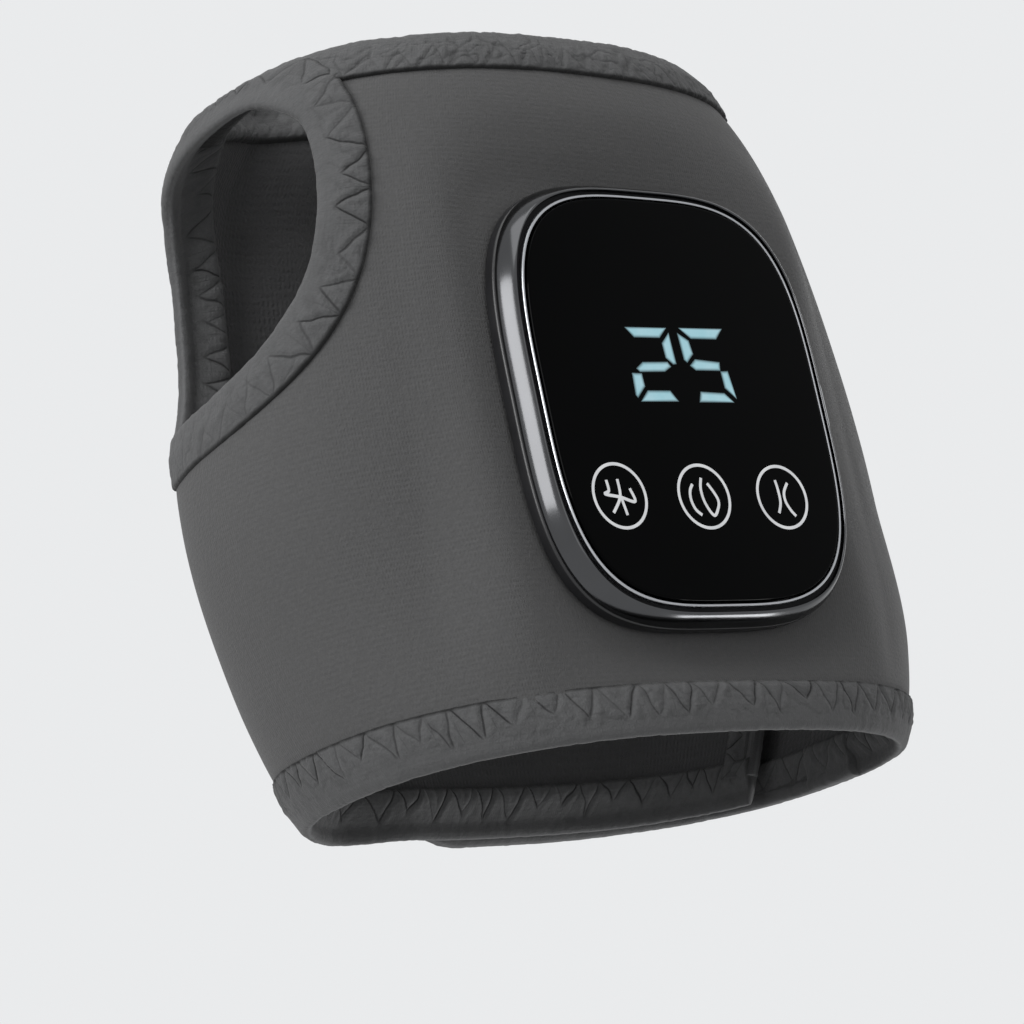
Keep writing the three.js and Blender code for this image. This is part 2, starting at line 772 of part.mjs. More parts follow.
// Tub that passes through the wrap, with the flange and low wall that stand outside it.
function lowerHousing() {
  const tub = modulePlate([
    [tubInset, tubBottom],
    [tubInset, housingBottom],
    [housingOuter, housingBottom],
    [housingOuter, housingTop],
    [housingInner, housingTop],
    [housingInner, flangeTop],
    [tubInner, flangeTop],
    [tubInner, tubFloor],
  ]);
  const clampBosses = clampScrewPlaces.map(({ x, y }) => (
    bar(x, y, bossRadius, flangeTop - flangeThickness / 2, bossTop)));
  const boardBosses = boardScrewPlaces.map(([x, y]) => (
    bar(x, y, bossRadius, tubFloor - housingWall / 2, boardBottom - seat)));
  const screwHole = screwRadius + seat;
  const clampHoles = clampScrewPlaces.map(({ x, y }) => (
    bar(x, y, screwHole, housingBottom - overrun, bossTop + overrun)));
  const boardHoles = boardScrewPlaces.map(([x, y]) => (
    bar(x, y, screwHole, boardTop - boardScrewLength - seat, boardBottom + overrun)));
  return cut(join(tub, ...clampBosses, ...boardBosses), ...clampHoles, ...boardHoles, socketPort());
}

// Metal rim with a rounded shoulder, a ledge for the trim and a skirt inside the housing.
function bezelRing() {
  const shoulderSteps = 3;
  const shoulder = Array.from({ length: shoulderSteps + 1 }, (_, i) => {
    const turn = (i / shoulderSteps) * 90 * degrees;
    return [
      bezelOuter + bezelShoulder * (1 - Math.cos(turn)),
      bezelTop - bezelShoulder * (1 - Math.sin(turn)),
    ];
  });
  const skirtInner = skirtOuter + bezelSkirtWidth;
  const skirtBottom = flangeTop + seat;
  return cut(moduleFrame([
    [bezelOuter, bezelBottom],
    ...shoulder,
    [bezelInner, bezelTop],
    [bezelInner, bezelLedgeTop],
    [bezelLedgeWidth, bezelLedgeTop],
    [bezelLedgeWidth, bezelLedgeBottom],
    [skirtInner, bezelLedgeBottom],
    [skirtInner, skirtBottom],
    [skirtOuter, skirtBottom],
    [skirtOuter, bezelBottom],
  ]), socketPort());
}

const trimRing = () => cut(moduleFrame([
  [trimOuter, trimLedgeBottom],
  [trimOuter, lensTop - lensBevel],
  [trimInner, lensTop - lensBevel],
  [trimInner, trimLedgeTop],
  [trimLedgeWidth, trimLedgeTop],
  [trimLedgeWidth, trimLedgeBottom],
]), socketPort());

const lensGasket = () => cut(moduleFrame([
  [0, gasketBottom],
  [0, gasketTop],
  [gasketWidth, gasketTop],
  [gasketWidth, gasketBottom],
]), socketPort());

const keyCentres = [-keyPitch, 0, keyPitch];
const keyCentreY = keyInset - lensHalfHeight;

// Cover glass, with a groove for each key ring.
function coverLens() {
  const plate = modulePlate([[0, lensBottom], [0, lensTop - lensBevel], [lensBevel, lensTop]]);
  const grooveBottom = lensTop - keyRingThickness - seat;
  return cut(plate, ...keyCentres.map((x) => flatRing(
    x, keyCentreY, keyRingRadius + seat, keyRingRadius - keyRingWidth - seat, grooveBottom, lensTop + overrun)));
}

const keyRing = (x) => flatRing(
  x, keyCentreY, keyRingRadius, keyRingRadius - keyRingWidth, lensTop - keyRingThickness, lensTop);

function clampFrame() {
  const frame = moduleFrame([
    [housingOuter + clampMargin, clampBottom],
    [housingOuter + clampMargin, clampTop],
    [tubInset - seat, clampTop],
    [tubInset - seat, clampBottom],
  ]);
  return cut(frame, ...clampScrewPlaces.map(({ x, y }) => (
    bar(x, y, screwRadius + seat, clampBottom - overrun, clampTop + overrun))));
}

// Electronics of the module

function circuitBoard() {
  const inset = tubInner + boardMargin;
  const board = modulePlate([[inset, boardBottom], [inset, boardTop]]);
  return cut(board, ...boardScrewPlaces.map(([x, y]) => (
    bar(x, y, screwRadius + seat, boardBottom - overrun, boardTop + overrun))));
}

// Pointed bar, one segment of a digit.
function segment(x, y, length, turn, bottom, top) {
  const shape = new THREE.Shape();
  const half = length / 2;
  const thick = segmentWidth / 2;
  shape.moveTo(-half, 0);
  shape.lineTo(-half + thick, -thick);
  shape.lineTo(half - thick, -thick);
  shape.lineTo(half, 0);
  shape.lineTo(half - thick, thick);
  shape.lineTo(-half + thick, thick);
  return new THREE.ExtrudeGeometry(shape, { depth: top - bottom, bevelEnabled: false })
    .rotateZ(turn * degrees)
    .translate(x, displayCentreY + y, bottom);
}

// Two seven-segment digits stand on the face of the display.
function displayUnit() {
  const face = lensBottom - seat - segmentRise;
  const depths = [face - segmentRise, face + segmentRise];
  const level = digitWidth - 2 * segmentGap;
  const upright = digitHeight / 2 - 2 * segmentGap;
  const segments = [-digitPitch / 2, digitPitch / 2].flatMap((x) => [
    ...[-1, 0, 1].map((row) => segment(x, row * digitHeight / 2, level, 0, ...depths)),
    ...[-1, 1].flatMap((side) => [-1, 1].map((row) => (
      segment(x + side * digitWidth / 2, row * digitHeight / 4, upright, 90, ...depths)))),
  ]);
  return join(block(0, displayCentreY, displayWidth, displayHeight, boardTop + seat, face), ...segments);
}

// Contact spring that reaches from the board to the glass behind a key.
function touchSpring(centreX) {
  const stepsPerTurn = 8;
  const sides = 4;
  const wire = springWire / 2;
  const bottom = boardTop + seat + wire;
  const top = lensBottom - seat - wire;
  const steps = springTurns * stepsPerTurn;
  return barOfRings(Array.from({ length: steps + 1 }, (_, i) => {
    const turn = (i / stepsPerTurn) * 2 * Math.PI;
    return Array.from({ length: sides }, (_unused, j) => {
      const round = (j / sides) * 2 * Math.PI;
      const radius = springRadius + wire * Math.cos(round);
      return new THREE.Vector3(
        centreX + radius * Math.cos(turn),
        keyCentreY + radius * Math.sin(turn),
        THREE.MathUtils.lerp(bottom, top, i / steps) + wire * Math.sin(round),
      );
    });
  }));
}

function battery() {
  const halfX = lensHalfWidth - batterySideInset;
  const halfY = lensHalfHeight - (batteryTopInset + batteryBottomInset) / 2;
  const centreY = (batteryBottomInset - batteryTopInset) / 2;
  const shape = new THREE.Shape();
  shape.absarc(halfX - batteryCorner, halfY - batteryCorner, batteryCorner, 0, 90 * degrees);
  shape.absarc(batteryCorner - halfX, halfY - batteryCorner, batteryCorner, 90 * degrees, 180 * degrees);
  shape.absarc(batteryCorner - halfX, batteryCorner - halfY, batteryCorner, 180 * degrees, 270 * degrees);
  shape.absarc(halfX - batteryCorner, batteryCorner - halfY, batteryCorner, 270 * degrees, 360 * degrees);
  return new THREE.ExtrudeGeometry(shape, { depth: batteryThickness, bevelEnabled: false, curveSegments: 4 })
    .translate(0, centreY, tubFloor + seat);
}

// Vibration motor: it lies along x in a rubber saddle, with an eccentric weight on its shaft

const motorCentreY = motorInset - lensHalfHeight;
const saddleBottom = tubFloor + seat;
const motorAxisDepth = saddleBottom + saddleFloor + seat + motorRadius;
const motorFrontX = motorCentreX + motorLength / 2;
const weightFromX = motorFrontX + weightGap;
const weightToX = weightFromX + weightLength;

// Round bar along x on the motor's axis.
const axialBar = (radius, fromX, toX, sides) => new THREE.CylinderGeometry(radius, radius, toX - fromX, sides)
  .rotateZ(90 * degrees)
  .translate((fromX + toX) / 2, motorCentreY, motorAxisDepth);

const motorCase = () => cut(
  axialBar(motorRadius, motorCentreX - motorLength / 2, motorFrontX, 2 * roundSides),
  axialBar(shaftRadius + seat, motorFrontX - shaftInset - seat, motorFrontX + overrun, roundSides),
);

function motorRotor() {
  const shape = new THREE.Shape();
  shape.absarc(0, 0, weightRadius, -100 * degrees, 100 * degrees, false);
  const weight = new THREE.ExtrudeGeometry(shape, { depth: weightLength, bevelEnabled: false, curveSegments: 10 })
    .rotateY(90 * degrees)
    .translate(weightFromX, motorCentreY, motorAxisDepth);
  return join(axialBar(shaftRadius, motorFrontX - shaftInset, weightToX, roundSides), weight);
}

function motorSaddle() {
  const width = 2 * (motorRadius + seat + saddleWall);
  const body = block(motorCentreX, motorCentreY, saddleLength, width, saddleBottom, motorAxisDepth);
  const bed = [motorCentreX - saddleLength, motorCentreX + saddleLength];
  return cut(body, axialBar(motorRadius + seat, ...bed, 2 * roundSides));
}

// Assembly

const material = (color, roughness, metalness = 0) => (
  new THREE.MeshStandardMaterial({ color, roughness, metalness }));
const finishes = {
  fabric: material('#57585a', 0.9),
  lining: material('#2b2c2e', 0.95),
  tape: material('#66676a', 0.85),
  hook: material('#1c1c1e', 1),
  glass: material('#060708', 0.06),
  silver: material('#c9ccd0', 0.25, 1),
  gunmetal: material('#5c6066', 0.22, 1),
  darkPlastic: material('#1d1e20', 0.45),
  keyLight: material('#c8ccd2', 0.4),
  board: material('#1f5a3c', 0.6),
  blackPlastic: material('#101113', 0.5),
  steel: material('#a9adb2', 0.3, 1),
  foil: material('#3f6fa8', 0.5),
  amber: material('#b5732a', 0.5),
  rubber: material('#232323', 0.9),
  tungsten: material('#7f8286', 0.4, 1),
};

function add(group, name, geometry, finish) {
  const mesh = new THREE.Mesh(geometry, finish);
  mesh.name = name;
  group.add(mesh);
}

const wrap = new THREE.Group();
add(wrap, 'outer_shell', outerShell(), finishes.fabric);
add(wrap, 'inner_lining', innerLining(), finishes.lining);
add(wrap, 'top_binding', topBinding(), finishes.tape);
add(wrap, 'bottom_binding', bottomBinding(), finishes.tape);
add(wrap, 'heel_binding', heelBinding(), finishes.tape);
add(wrap, 'inner_end_binding', innerEndBinding(), finishes.tape);
const filmDepth = shellThickness + seat;
const rowsUnderPatch = 2;
const rowsOverPatch = 3;
const patchRows = [rowsUnderPatch, lastRow - rowsOverPatch];
const film = (angles, rows) => patch(wallAngles, angles, rows, filmDepth, filmThickness);
add(wrap, 'heating_film_front', film(frontFilmAngles, patchRows), finishes.amber);
add(wrap, 'heating_film_medial', film(medialFilmAngles, patchRows), finishes.amber);
add(wrap, 'temperature_sensor', film(sensorAngles, [1, 2]), finishes.blackPlastic);
const loopDepth = -seat - patchThickness;
add(wrap, 'loop_patch', patch(wallAngles, loopPatchAngles, patchRows, loopDepth, patchThickness), finishes.hook);

const flap = new THREE.Group();
add(flap, 'flap_shell', flapSheet(0, shellThickness), finishes.fabric);
add(flap, 'flap_lining', flapSheet(shellThickness + seat, liningThickness), finishes.lining);
add(flap, 'flap_binding', flapBinding(), finishes.tape);
const hookDepth = flapThickness + seat;
add(flap, 'hook_patch', patch(flapAngles, hookPatchAngles, patchRows, hookDepth, patchThickness), finishes.hook);

const controls = new THREE.Group();
modulePlace.decompose(controls.position, controls.quaternion, controls.scale);
add(controls, 'lower_housing', lowerHousing(), finishes.darkPlastic);
add(controls, 'clamp_frame', clampFrame(), finishes.blackPlastic);
add(controls, 'bezel_ring', bezelRing(), finishes.gunmetal);
add(controls, 'trim_ring', trimRing(), finishes.silver);
add(controls, 'lens_gasket', lensGasket(), finishes.rubber);
add(controls, 'cover_lens', coverLens(), finishes.glass);
add(controls, 'display_unit', displayUnit(), finishes.blackPlastic);
add(controls, 'circuit_board', circuitBoard(), finishes.board);
add(controls, 'usb_socket', usbSocket(), finishes.steel);
add(controls, 'battery', battery(), finishes.foil);
add(controls, 'motor_saddle', motorSaddle(), finishes.rubber);
add(controls, 'motor_case', motorCase(), finishes.steel);
add(controls, 'motor_rotor', motorRotor(), finishes.tungsten);
['left', 'middle', 'right'].forEach((side, i) => {
  add(controls, `key_ring_${side}`, keyRing(keyCentres[i]), finishes.keyLight);
  add(controls, `touch_spring_${side}`, touchSpring(keyCentres[i]), finishes.steel);
});
clampScrewPlaces.forEach((place, i) => add(controls, `clamp_screw_${i + 1}`, clampScrew(place), finishes.steel));
boardScrewPlaces.forEach((place, i) => add(controls, `board_screw_${i + 1}`, boardScrew(place), finishes.steel));

// The origin lies on the ground, in the middle of the box round the whole massager.
const massager = new THREE.Group();
massager.add(wrap, flap, controls);
massager.updateMatrixWorld(true);
const box = new THREE.Box3().setFromObject(massager, true);
const middle = box.getCenter(new THREE.Vector3());
massager.position.set(-middle.x, -middle.y, -box.min.z);

export default massager;
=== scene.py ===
import math

import bmesh
import bpy
import numpy as np
from mathutils import Matrix, Vector


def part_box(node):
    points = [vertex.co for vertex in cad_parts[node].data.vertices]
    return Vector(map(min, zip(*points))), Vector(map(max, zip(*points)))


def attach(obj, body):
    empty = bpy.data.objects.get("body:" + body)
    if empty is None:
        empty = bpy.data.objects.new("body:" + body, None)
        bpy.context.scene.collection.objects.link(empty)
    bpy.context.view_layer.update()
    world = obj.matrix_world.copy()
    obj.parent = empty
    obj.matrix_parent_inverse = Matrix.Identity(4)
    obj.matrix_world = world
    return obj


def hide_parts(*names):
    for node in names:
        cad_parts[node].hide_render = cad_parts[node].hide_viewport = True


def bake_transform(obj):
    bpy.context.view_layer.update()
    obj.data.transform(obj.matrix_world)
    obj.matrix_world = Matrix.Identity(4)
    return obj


# Heated ankle massager, dressed over its CAD frame. Lengths are in millimetres until a mesh is made.
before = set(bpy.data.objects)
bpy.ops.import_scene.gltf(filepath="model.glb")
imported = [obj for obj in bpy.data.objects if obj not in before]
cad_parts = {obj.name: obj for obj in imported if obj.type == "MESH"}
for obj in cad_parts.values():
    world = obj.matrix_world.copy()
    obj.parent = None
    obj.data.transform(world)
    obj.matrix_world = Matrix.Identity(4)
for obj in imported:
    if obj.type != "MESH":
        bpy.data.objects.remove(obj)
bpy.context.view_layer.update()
scene = bpy.context.scene
scene.view_settings.view_transform = "Standard"
mm = 0.001

# The wrap's own surface, as the part's source has it

wrapForm = {
    "length": 123.0,
    "width": 68.0,
    "height": 114.0,
    "rimRise": 2.0,
    "medialRise": 10.0,
    "medialPlace": (-0.1, 0.9),
    "roundness": 2.4,
    "sections": [  # share of height, shift x, shift y, half x, half y
        (0.0, -0.016, 0.176, 0.813, 1.088),
        (0.175, 0.0, 0.235, 0.951, 1.059),
        (0.368, -0.049, 0.206, 1.0, 1.0),
        (0.561, -0.081, 0.162, 0.984, 0.971),
        (0.754, -0.114, 0.132, 0.919, 0.985),
        (0.895, -0.122, 0.147, 0.829, 0.956),
        (1.035, -0.098, 0.176, 0.667, 0.824),
        (1.15, -0.078, 0.2, 0.534, 0.716),
    ],
    "innerEnd": 338.0,
    "flapFree": -105.0,
    "flapRoot": -0.5,
    "flapCorner": 14.0,
    "tuck": (230.0, 253.0, 6.3),  # between these angles the wall goes this far in, under the flap
    "fold": 0.9,  # height of the binding's fold past the wall
    "wall": 4.4,
    "lining": 1.2,
    "flapWall": 3.7,
}
moduleForm = {
    "halfWidth": 27.0,
    "halfHeight": 31.8,
    "roundness": 3.5,
    "x": -4.4,
    "z": 50.9,
    "seatY": -26.0,
    "spin": 1.3,  # degrees about its own face
    "face": 6.2,  # depth of the glass over the seat
    "pressed": (7.5, 12.0, 6.0),  # the wall is flat up to the first distance and free past the second
    "bulge": (0.5, 9.0, 9.5),  # where the lining runs round the module, and how deep
}
heelForm = {
    "angle": 182.0,
    "halfAngle": 39.0,
    "z": 83.0,
    "halfHeight": 23.5,
    "tilt": -3.5,  # how much higher the middle line is at the medial end
    "roundness": 2.4,
}


def smoothStep(value, low, high):
    t = np.clip((value - low) / (high - low), 0.0, 1.0)
    return t * t * (3.0 - 2.0 * t)


def sectionValues(column, share):
    table = np.array(wrapForm["sections"])
    heights, values = table[:, 0], table[:, column]
    last = len(heights) - 1
    before = np.maximum(np.arange(last + 1) - 1, 0)
    after = np.minimum(np.arange(last + 1) + 1, last)
    slopes = (values[after] - values[before]) / (heights[after] - heights[before])
    i = np.clip(np.searchsorted(heights, share, side="left") - 1, 0, last - 1)
    step = heights[i + 1] - heights[i]
    t = np.clip((share - heights[i]) / step, 0.0, 1.0)
    mixed = values[i] + (values[i + 1] - values[i]) * t * t * (3 - 2 * t)
    return mixed + step * (t * (1 - t) ** 2 * slopes[i] + t * t * (t - 1) * slopes[i + 1])


def squared(value, power):
    return np.sign(value) * np.abs(value) ** (2.0 / power)


def modulePresence(x, z, inner, outer):
    power = moduleForm["pressed"][2]
    across = np.abs((x - moduleForm["x"]) / (moduleForm["halfWidth"] + inner)) ** power
    upwards = np.abs((z - moduleForm["z"]) / (moduleForm["halfHeight"] + inner)) ** power
    reach = (moduleForm["halfWidth"] + outer) / (moduleForm["halfWidth"] + inner)
    return 1.0 - smoothStep((across + upwards) ** (1.0 / power), 1.0, reach)


def facePoint(angle, z, hollow=None):
    share = z / wrapForm["height"]
    cosine = squared(np.cos(np.radians(angle)), wrapForm["roundness"])
    sine = squared(np.sin(np.radians(angle)), wrapForm["roundness"])
    x = (sectionValues(1, share) + sectionValues(3, share) * cosine) * wrapForm["length"] / 2
    y = (sectionValues(2, share) - sectionValues(4, share) * sine) * wrapForm["width"] / 2
    inner, outer = hollow or moduleForm["pressed"][:2]
    pressed = np.where(sine > 0, modulePresence(x, z, inner, outer), 0.0)
    y = y + (moduleForm["seatY"] - y) * pressed
    return np.stack([x, y, z + 0.0 * x], axis=-1)


def outward(angle, z):
    along = facePoint(angle + 2.0, z) - facePoint(angle - 2.0, z)
    rise = 0.01 * wrapForm["height"]
    upwards = facePoint(angle, z + rise) - facePoint(angle, z - rise)
    normal = np.cross(upwards, along)
    normal[..., 2] = 0.0
    return normal / np.linalg.norm(normal, axis=-1, keepdims=True)


def wallPoint(angle, z, depth, hollow=None):
    start, end, tuck = wrapForm["tuck"]
    inwards = depth + tuck * smoothStep(angle, start, end)
    return facePoint(angle, z, hollow) - outward(angle, z) * inwards[..., None]


def degreePitch(angle, z):
    return np.linalg.norm(facePoint(angle + 2.0, z) - facePoint(angle - 2.0, z), axis=-1) / 4.0


def wallHigh(angle):
    medial = smoothStep(-np.sin(np.radians(angle)), *wrapForm["medialPlace"])
    frontRise = wrapForm["rimRise"] * np.cos(np.radians(angle))
    return wrapForm["height"] + frontRise + wrapForm["medialRise"] * medial - wrapForm["fold"]


def nearModule(angle, z, inner, outer):
    # 1 within the first distance of the module's edge and 0 past the second, on the wrap's lateral side
    return modulePresence(facePoint(angle, z)[..., 0], z, inner, outer) * (np.sin(np.radians(angle)) > 0)


def liningDepth(angle, z):
    flat = wrapForm["wall"] - wrapForm["lining"]
    inner, outer, deepest = moduleForm["bulge"]
    return flat + (deepest - flat) * nearModule(angle, z, inner, outer)


# The row's frame is the wrap's own, moved so that the closed massager is centred.
lensLow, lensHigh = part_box("cover_lens")
rowShift = np.array([
    (lensLow[0] + lensHigh[0]) / 2 / mm - moduleForm["x"],
    lensLow[1] / mm - (moduleForm["seatY"] - moduleForm["face"]),
    0.0,
])

# Camera

viewForm = {
    "yaw": 41.0,
    "elevation": -17.11,
    "roll": 10.95,
    "distance": 502.2,
    "lookAt": (0.0, 0.0, 62.0),
    "pixels": 1024.0,
    "middle": (566.59, 402.79),  # where lookAt is seen
    "scale": 6.3,  # pixels per millimetre at lookAt
    "sensor": 36.0,
    "clip": (0.01, 20.0),  # in metres
}


def makeCamera():
    yaw, rise, roll = (math.radians(viewForm[k]) for k in ("yaw", "elevation", "roll"))
    back = Vector((-math.sin(yaw) * math.cos(rise), -math.cos(yaw) * math.cos(rise), math.sin(rise)))
    right = Vector((math.cos(yaw), -math.sin(yaw), 0.0))
    up = back.cross(right)
    right, up = right * math.cos(roll) - up * math.sin(roll), up * math.cos(roll) + right * math.sin(roll)
    target = Vector(viewForm["lookAt"]) + Vector(rowShift)
    place = target + back * viewForm["distance"]
    focal = viewForm["scale"] * viewForm["distance"]
    half = viewForm["pixels"] / 2
    across, down = ((half - place) / focal for place in viewForm["middle"])
    ahead = (-back + right * across - up * down).normalized()
    right = (right - ahead * right.dot(ahead)).normalized()
    up = right.cross(ahead)
    data = bpy.data.cameras.new("photoCamera")
    data.sensor_width = viewForm["sensor"]
    data.lens = focal / viewForm["pixels"] * viewForm["sensor"]
    data.clip_start, data.clip_end = viewForm["clip"]
    camera = bpy.data.objects.new("photoCamera", data)
    camera.matrix_world = Matrix((
        (right.x, up.x, -ahead.x, place.x * mm),
        (right.y, up.y, -ahead.y, place.y * mm),
        (right.z, up.z, -ahead.z, place.z * mm),
        (0.0, 0.0, 0.0, 1.0),
    ))
    scene.collection.objects.link(camera)
    scene.camera = camera


makeCamera()
print("camera is in place")

# Shader tools and the groups that several materials use


shadeForm = {
    "fibreScale": 1500.0,
    "driftScale": 180.0,
    "rowShare": 0.62,  # how wide a stitch is for its height
    "rowLean": 0.9,
    "fibreLevel": 0.42,
    "pale": 1.9,  # how much paler than the cloth the specks and the line on the rim's crest are
    # painted shade: following the knit's relief, and in the creases and seams of the tapes
    "knitShadeShare": 0.22,
    "knitPaintedShade": 0.55,
    "paintedCreaseShade": 0.14,
    "creaseDepth": 1.1,
    "paleRimShare": 0.55,
    "clothRoughness": (0.82, 0.12),  # base and spread
    "bump": {"cloth": 0.0003, "metal": 0.00002, "moulded": 0.00005},  # in metres
}


def addNode(tree, kind, values=None, **settings):
    node = tree.nodes.new(kind)
    for key, value in settings.items():
        setattr(node, key, value)
    for key, value in (values or {}).items():
        node.inputs[key].default_value = value
    return node


def noiseNode(tree, **values):
    # noise laid out in the piece's own space
    noise = addNode(tree, "ShaderNodeTexNoise", values)
    tree.links.new(addNode(tree, "ShaderNodeTexCoord").outputs["Object"], noise.inputs["Vector"])
    return noise


def mathNode(tree, operation, first, second=None, clamp=False):
    node = addNode(tree, "ShaderNodeMath", operation=operation, use_clamp=clamp)
    for socket, value in zip(node.inputs, (first, second)):
        if value is None:
            continue
        if isinstance(value, (int, float)):
            socket.default_value = value
        else:
            tree.links.new(value, socket)
    return node.outputs[0]


def mixColour(tree, factor, first, second, blend="MIX"):
    node = addNode(tree, "ShaderNodeMix", data_type="RGBA", blend_type=blend)
    for socket, value in ((node.inputs[0], factor), (node.inputs[6], first), (node.inputs[7], second)):
        if isinstance(value, (int, float)):
            socket.default_value = value
        elif isinstance(value, tuple):
            socket.default_value = (*value, 1.0)[:4]
        else:
            tree.links.new(value, socket)
    return node.outputs[2]


def newGroup(name, inputs, outputs):
    group = bpy.data.node_groups.new(name, "ShaderNodeTree")
    for way, sockets in (("INPUT", inputs), ("OUTPUT", outputs)):
        for socketName, kind in sockets:
            group.interface.new_socket(socketName, in_out=way, socket_type=kind)
    return group, group.nodes.new("NodeGroupInput"), group.nodes.new("NodeGroupOutput")


def knitGroup():
    # Rows of small stitches laid out on the piece's own map, broken up by loose fibres.
    group, given, made = newGroup(
        "knit",
        [(socket, "NodeSocketFloat") for socket in ("Pitch", "Regular", "Fuzz")],
        [("Height", "NodeSocketFloat"), ("Fibres", "NodeSocketFloat")],
    )
    link = group.links.new
    place = addNode(group, "ShaderNodeUVMap")
    parts = addNode(group, "ShaderNodeSeparateXYZ")
    link(place.outputs[0], parts.inputs[0])
    turns = mathNode(group, "DIVIDE", 2 * math.pi, given.outputs["Pitch"])
    across = mathNode(group, "SINE", mathNode(group, "MULTIPLY", parts.outputs[0], turns))
    rowTurns = mathNode(group, "MULTIPLY", turns, shadeForm["rowShare"])
    lean = mathNode(group, "MULTIPLY", across, shadeForm["rowLean"])
    rows = mathNode(group, "MULTIPLY", parts.outputs[1], rowTurns)
    upwards = mathNode(group, "SINE", mathNode(group, "ADD", rows, lean))
    fibre = noiseNode(group, Scale=shadeForm["fibreScale"], Detail=4.0, Roughness=0.7)
    drift = noiseNode(group, Scale=shadeForm["driftScale"], Detail=2.0)
    amount = mathNode(group, "MULTIPLY", drift.outputs[0], given.outputs["Regular"])
    stitches = mathNode(group, "MULTIPLY", mathNode(group, "ADD", across, upwards), amount)
    spread = mathNode(group, "SUBTRACT", fibre.outputs[0], 0.5)
    loose = mathNode(group, "MULTIPLY", spread, given.outputs["Fuzz"])
    link(mathNode(group, "ADD", stitches, loose), made.inputs["Height"])
    link(fibre.outputs[0], made.inputs["Fibres"])
    return group


def patchGroup():
    # Soft uneven patches, about 0 to 1, for shade and roughness.
    group, given, made = newGroup(
        "unevenness",
        [("Scale", "NodeSocketFloat"), ("Contrast", "NodeSocketFloat")],
        [("Value", "NodeSocketFloat")],
    )
    cloud = noiseNode(group, Detail=5.0, Roughness=0.6)
    group.links.new(given.outputs["Scale"], cloud.inputs["Scale"])
    spread = mathNode(group, "SUBTRACT", cloud.outputs[0], 0.5)
    spread = mathNode(group, "MULTIPLY", spread, given.outputs["Contrast"])
    group.links.new(mathNode(group, "ADD", spread, 0.5, clamp=True), made.inputs["Value"])
    return group


def brushedGroup():
    # Fine scratches drawn out along one direction, for worked metal.
    group, given, made = newGroup(
        "brushed",
        [("Along", "NodeSocketVector"), ("Scale", "NodeSocketFloat")],
        [("Height", "NodeSocketFloat")],
    )
    coordinates = addNode(group, "ShaderNodeTexCoord")
    stretch = addNode(group, "ShaderNodeVectorMath", operation="MULTIPLY")
    group.links.new(coordinates.outputs["Object"], stretch.inputs[0])
    group.links.new(given.outputs["Along"], stretch.inputs[1])
    lines = addNode(group, "ShaderNodeTexNoise", {"Detail": 3.0, "Roughness": 0.6})
    group.links.new(stretch.outputs[0], lines.inputs["Vector"])
    group.links.new(given.outputs["Scale"], lines.inputs["Scale"])
    group.links.new(lines.outputs[0], made.inputs["Height"])
    return group


groups = {"knit": knitGroup(), "patches": patchGroup(), "brushed": brushedGroup()}


def placeGroup(tree, name, values):
    node = addNode(tree, "ShaderNodeGroup", node_tree=groups[name])
    for key, value in values.items():
        node.inputs[key].default_value = value
    return node


def newMaterial(name, values):
    material = bpy.data.materials.new(name)
    material.use_nodes = True
    tree = material.node_tree
    shader = tree.nodes["Principled BSDF"]
    for key, value in values.items():
        shader.inputs[key].default_value = value
    return material, tree, shader


def scaled(colour, by):
    return tuple(min(1.0, c * by) for c in colour)


def spreadColour(tree, factor, colour, dark, pale):
    return mixColour(tree, factor, scaled(colour, dark), scaled(colour, pale))


def setRoughness(tree, shader, cloud, base, spread):
    rough = mathNode(tree, "ADD", mathNode(tree, "MULTIPLY", cloud.outputs[0], spread), base)
    tree.links.new(rough, shader.inputs["Roughness"])


def readAttribute(tree, name):
    return addNode(tree, "ShaderNodeAttribute", attribute_name=name).outputs["Fac"]


def addBump(tree, shader, height, strength, stuff):
    bump = addNode(tree, "ShaderNodeBump", {"Strength": strength, "Distance": shadeForm["bump"][stuff]})
    tree.links.new(height, bump.inputs["Height"])
    tree.links.new(bump.outputs[0], shader.inputs["Normal"])


def stitchShadeLines(tree, width):
    # Painted shade in the creases of the two legs of each V, drawn as fine as width from the distances that the
    # tape's mesh carries, in mm.
    legs = []
    for distance, weight in (("legLeft", "leftWeight"), ("legRight", "rightWeight")):
        share = mathNode(tree, "DIVIDE", mathNode(tree, "ABSOLUTE", readAttribute(tree, distance)), width)
        line = mathNode(tree, "SUBTRACT", 1.0, mathNode(tree, "POWER", share, 1.5), clamp=True)
        legs.append(mathNode(tree, "MULTIPLY", line, readAttribute(tree, weight)))
    return mathNode(tree, "MAXIMUM", *legs)


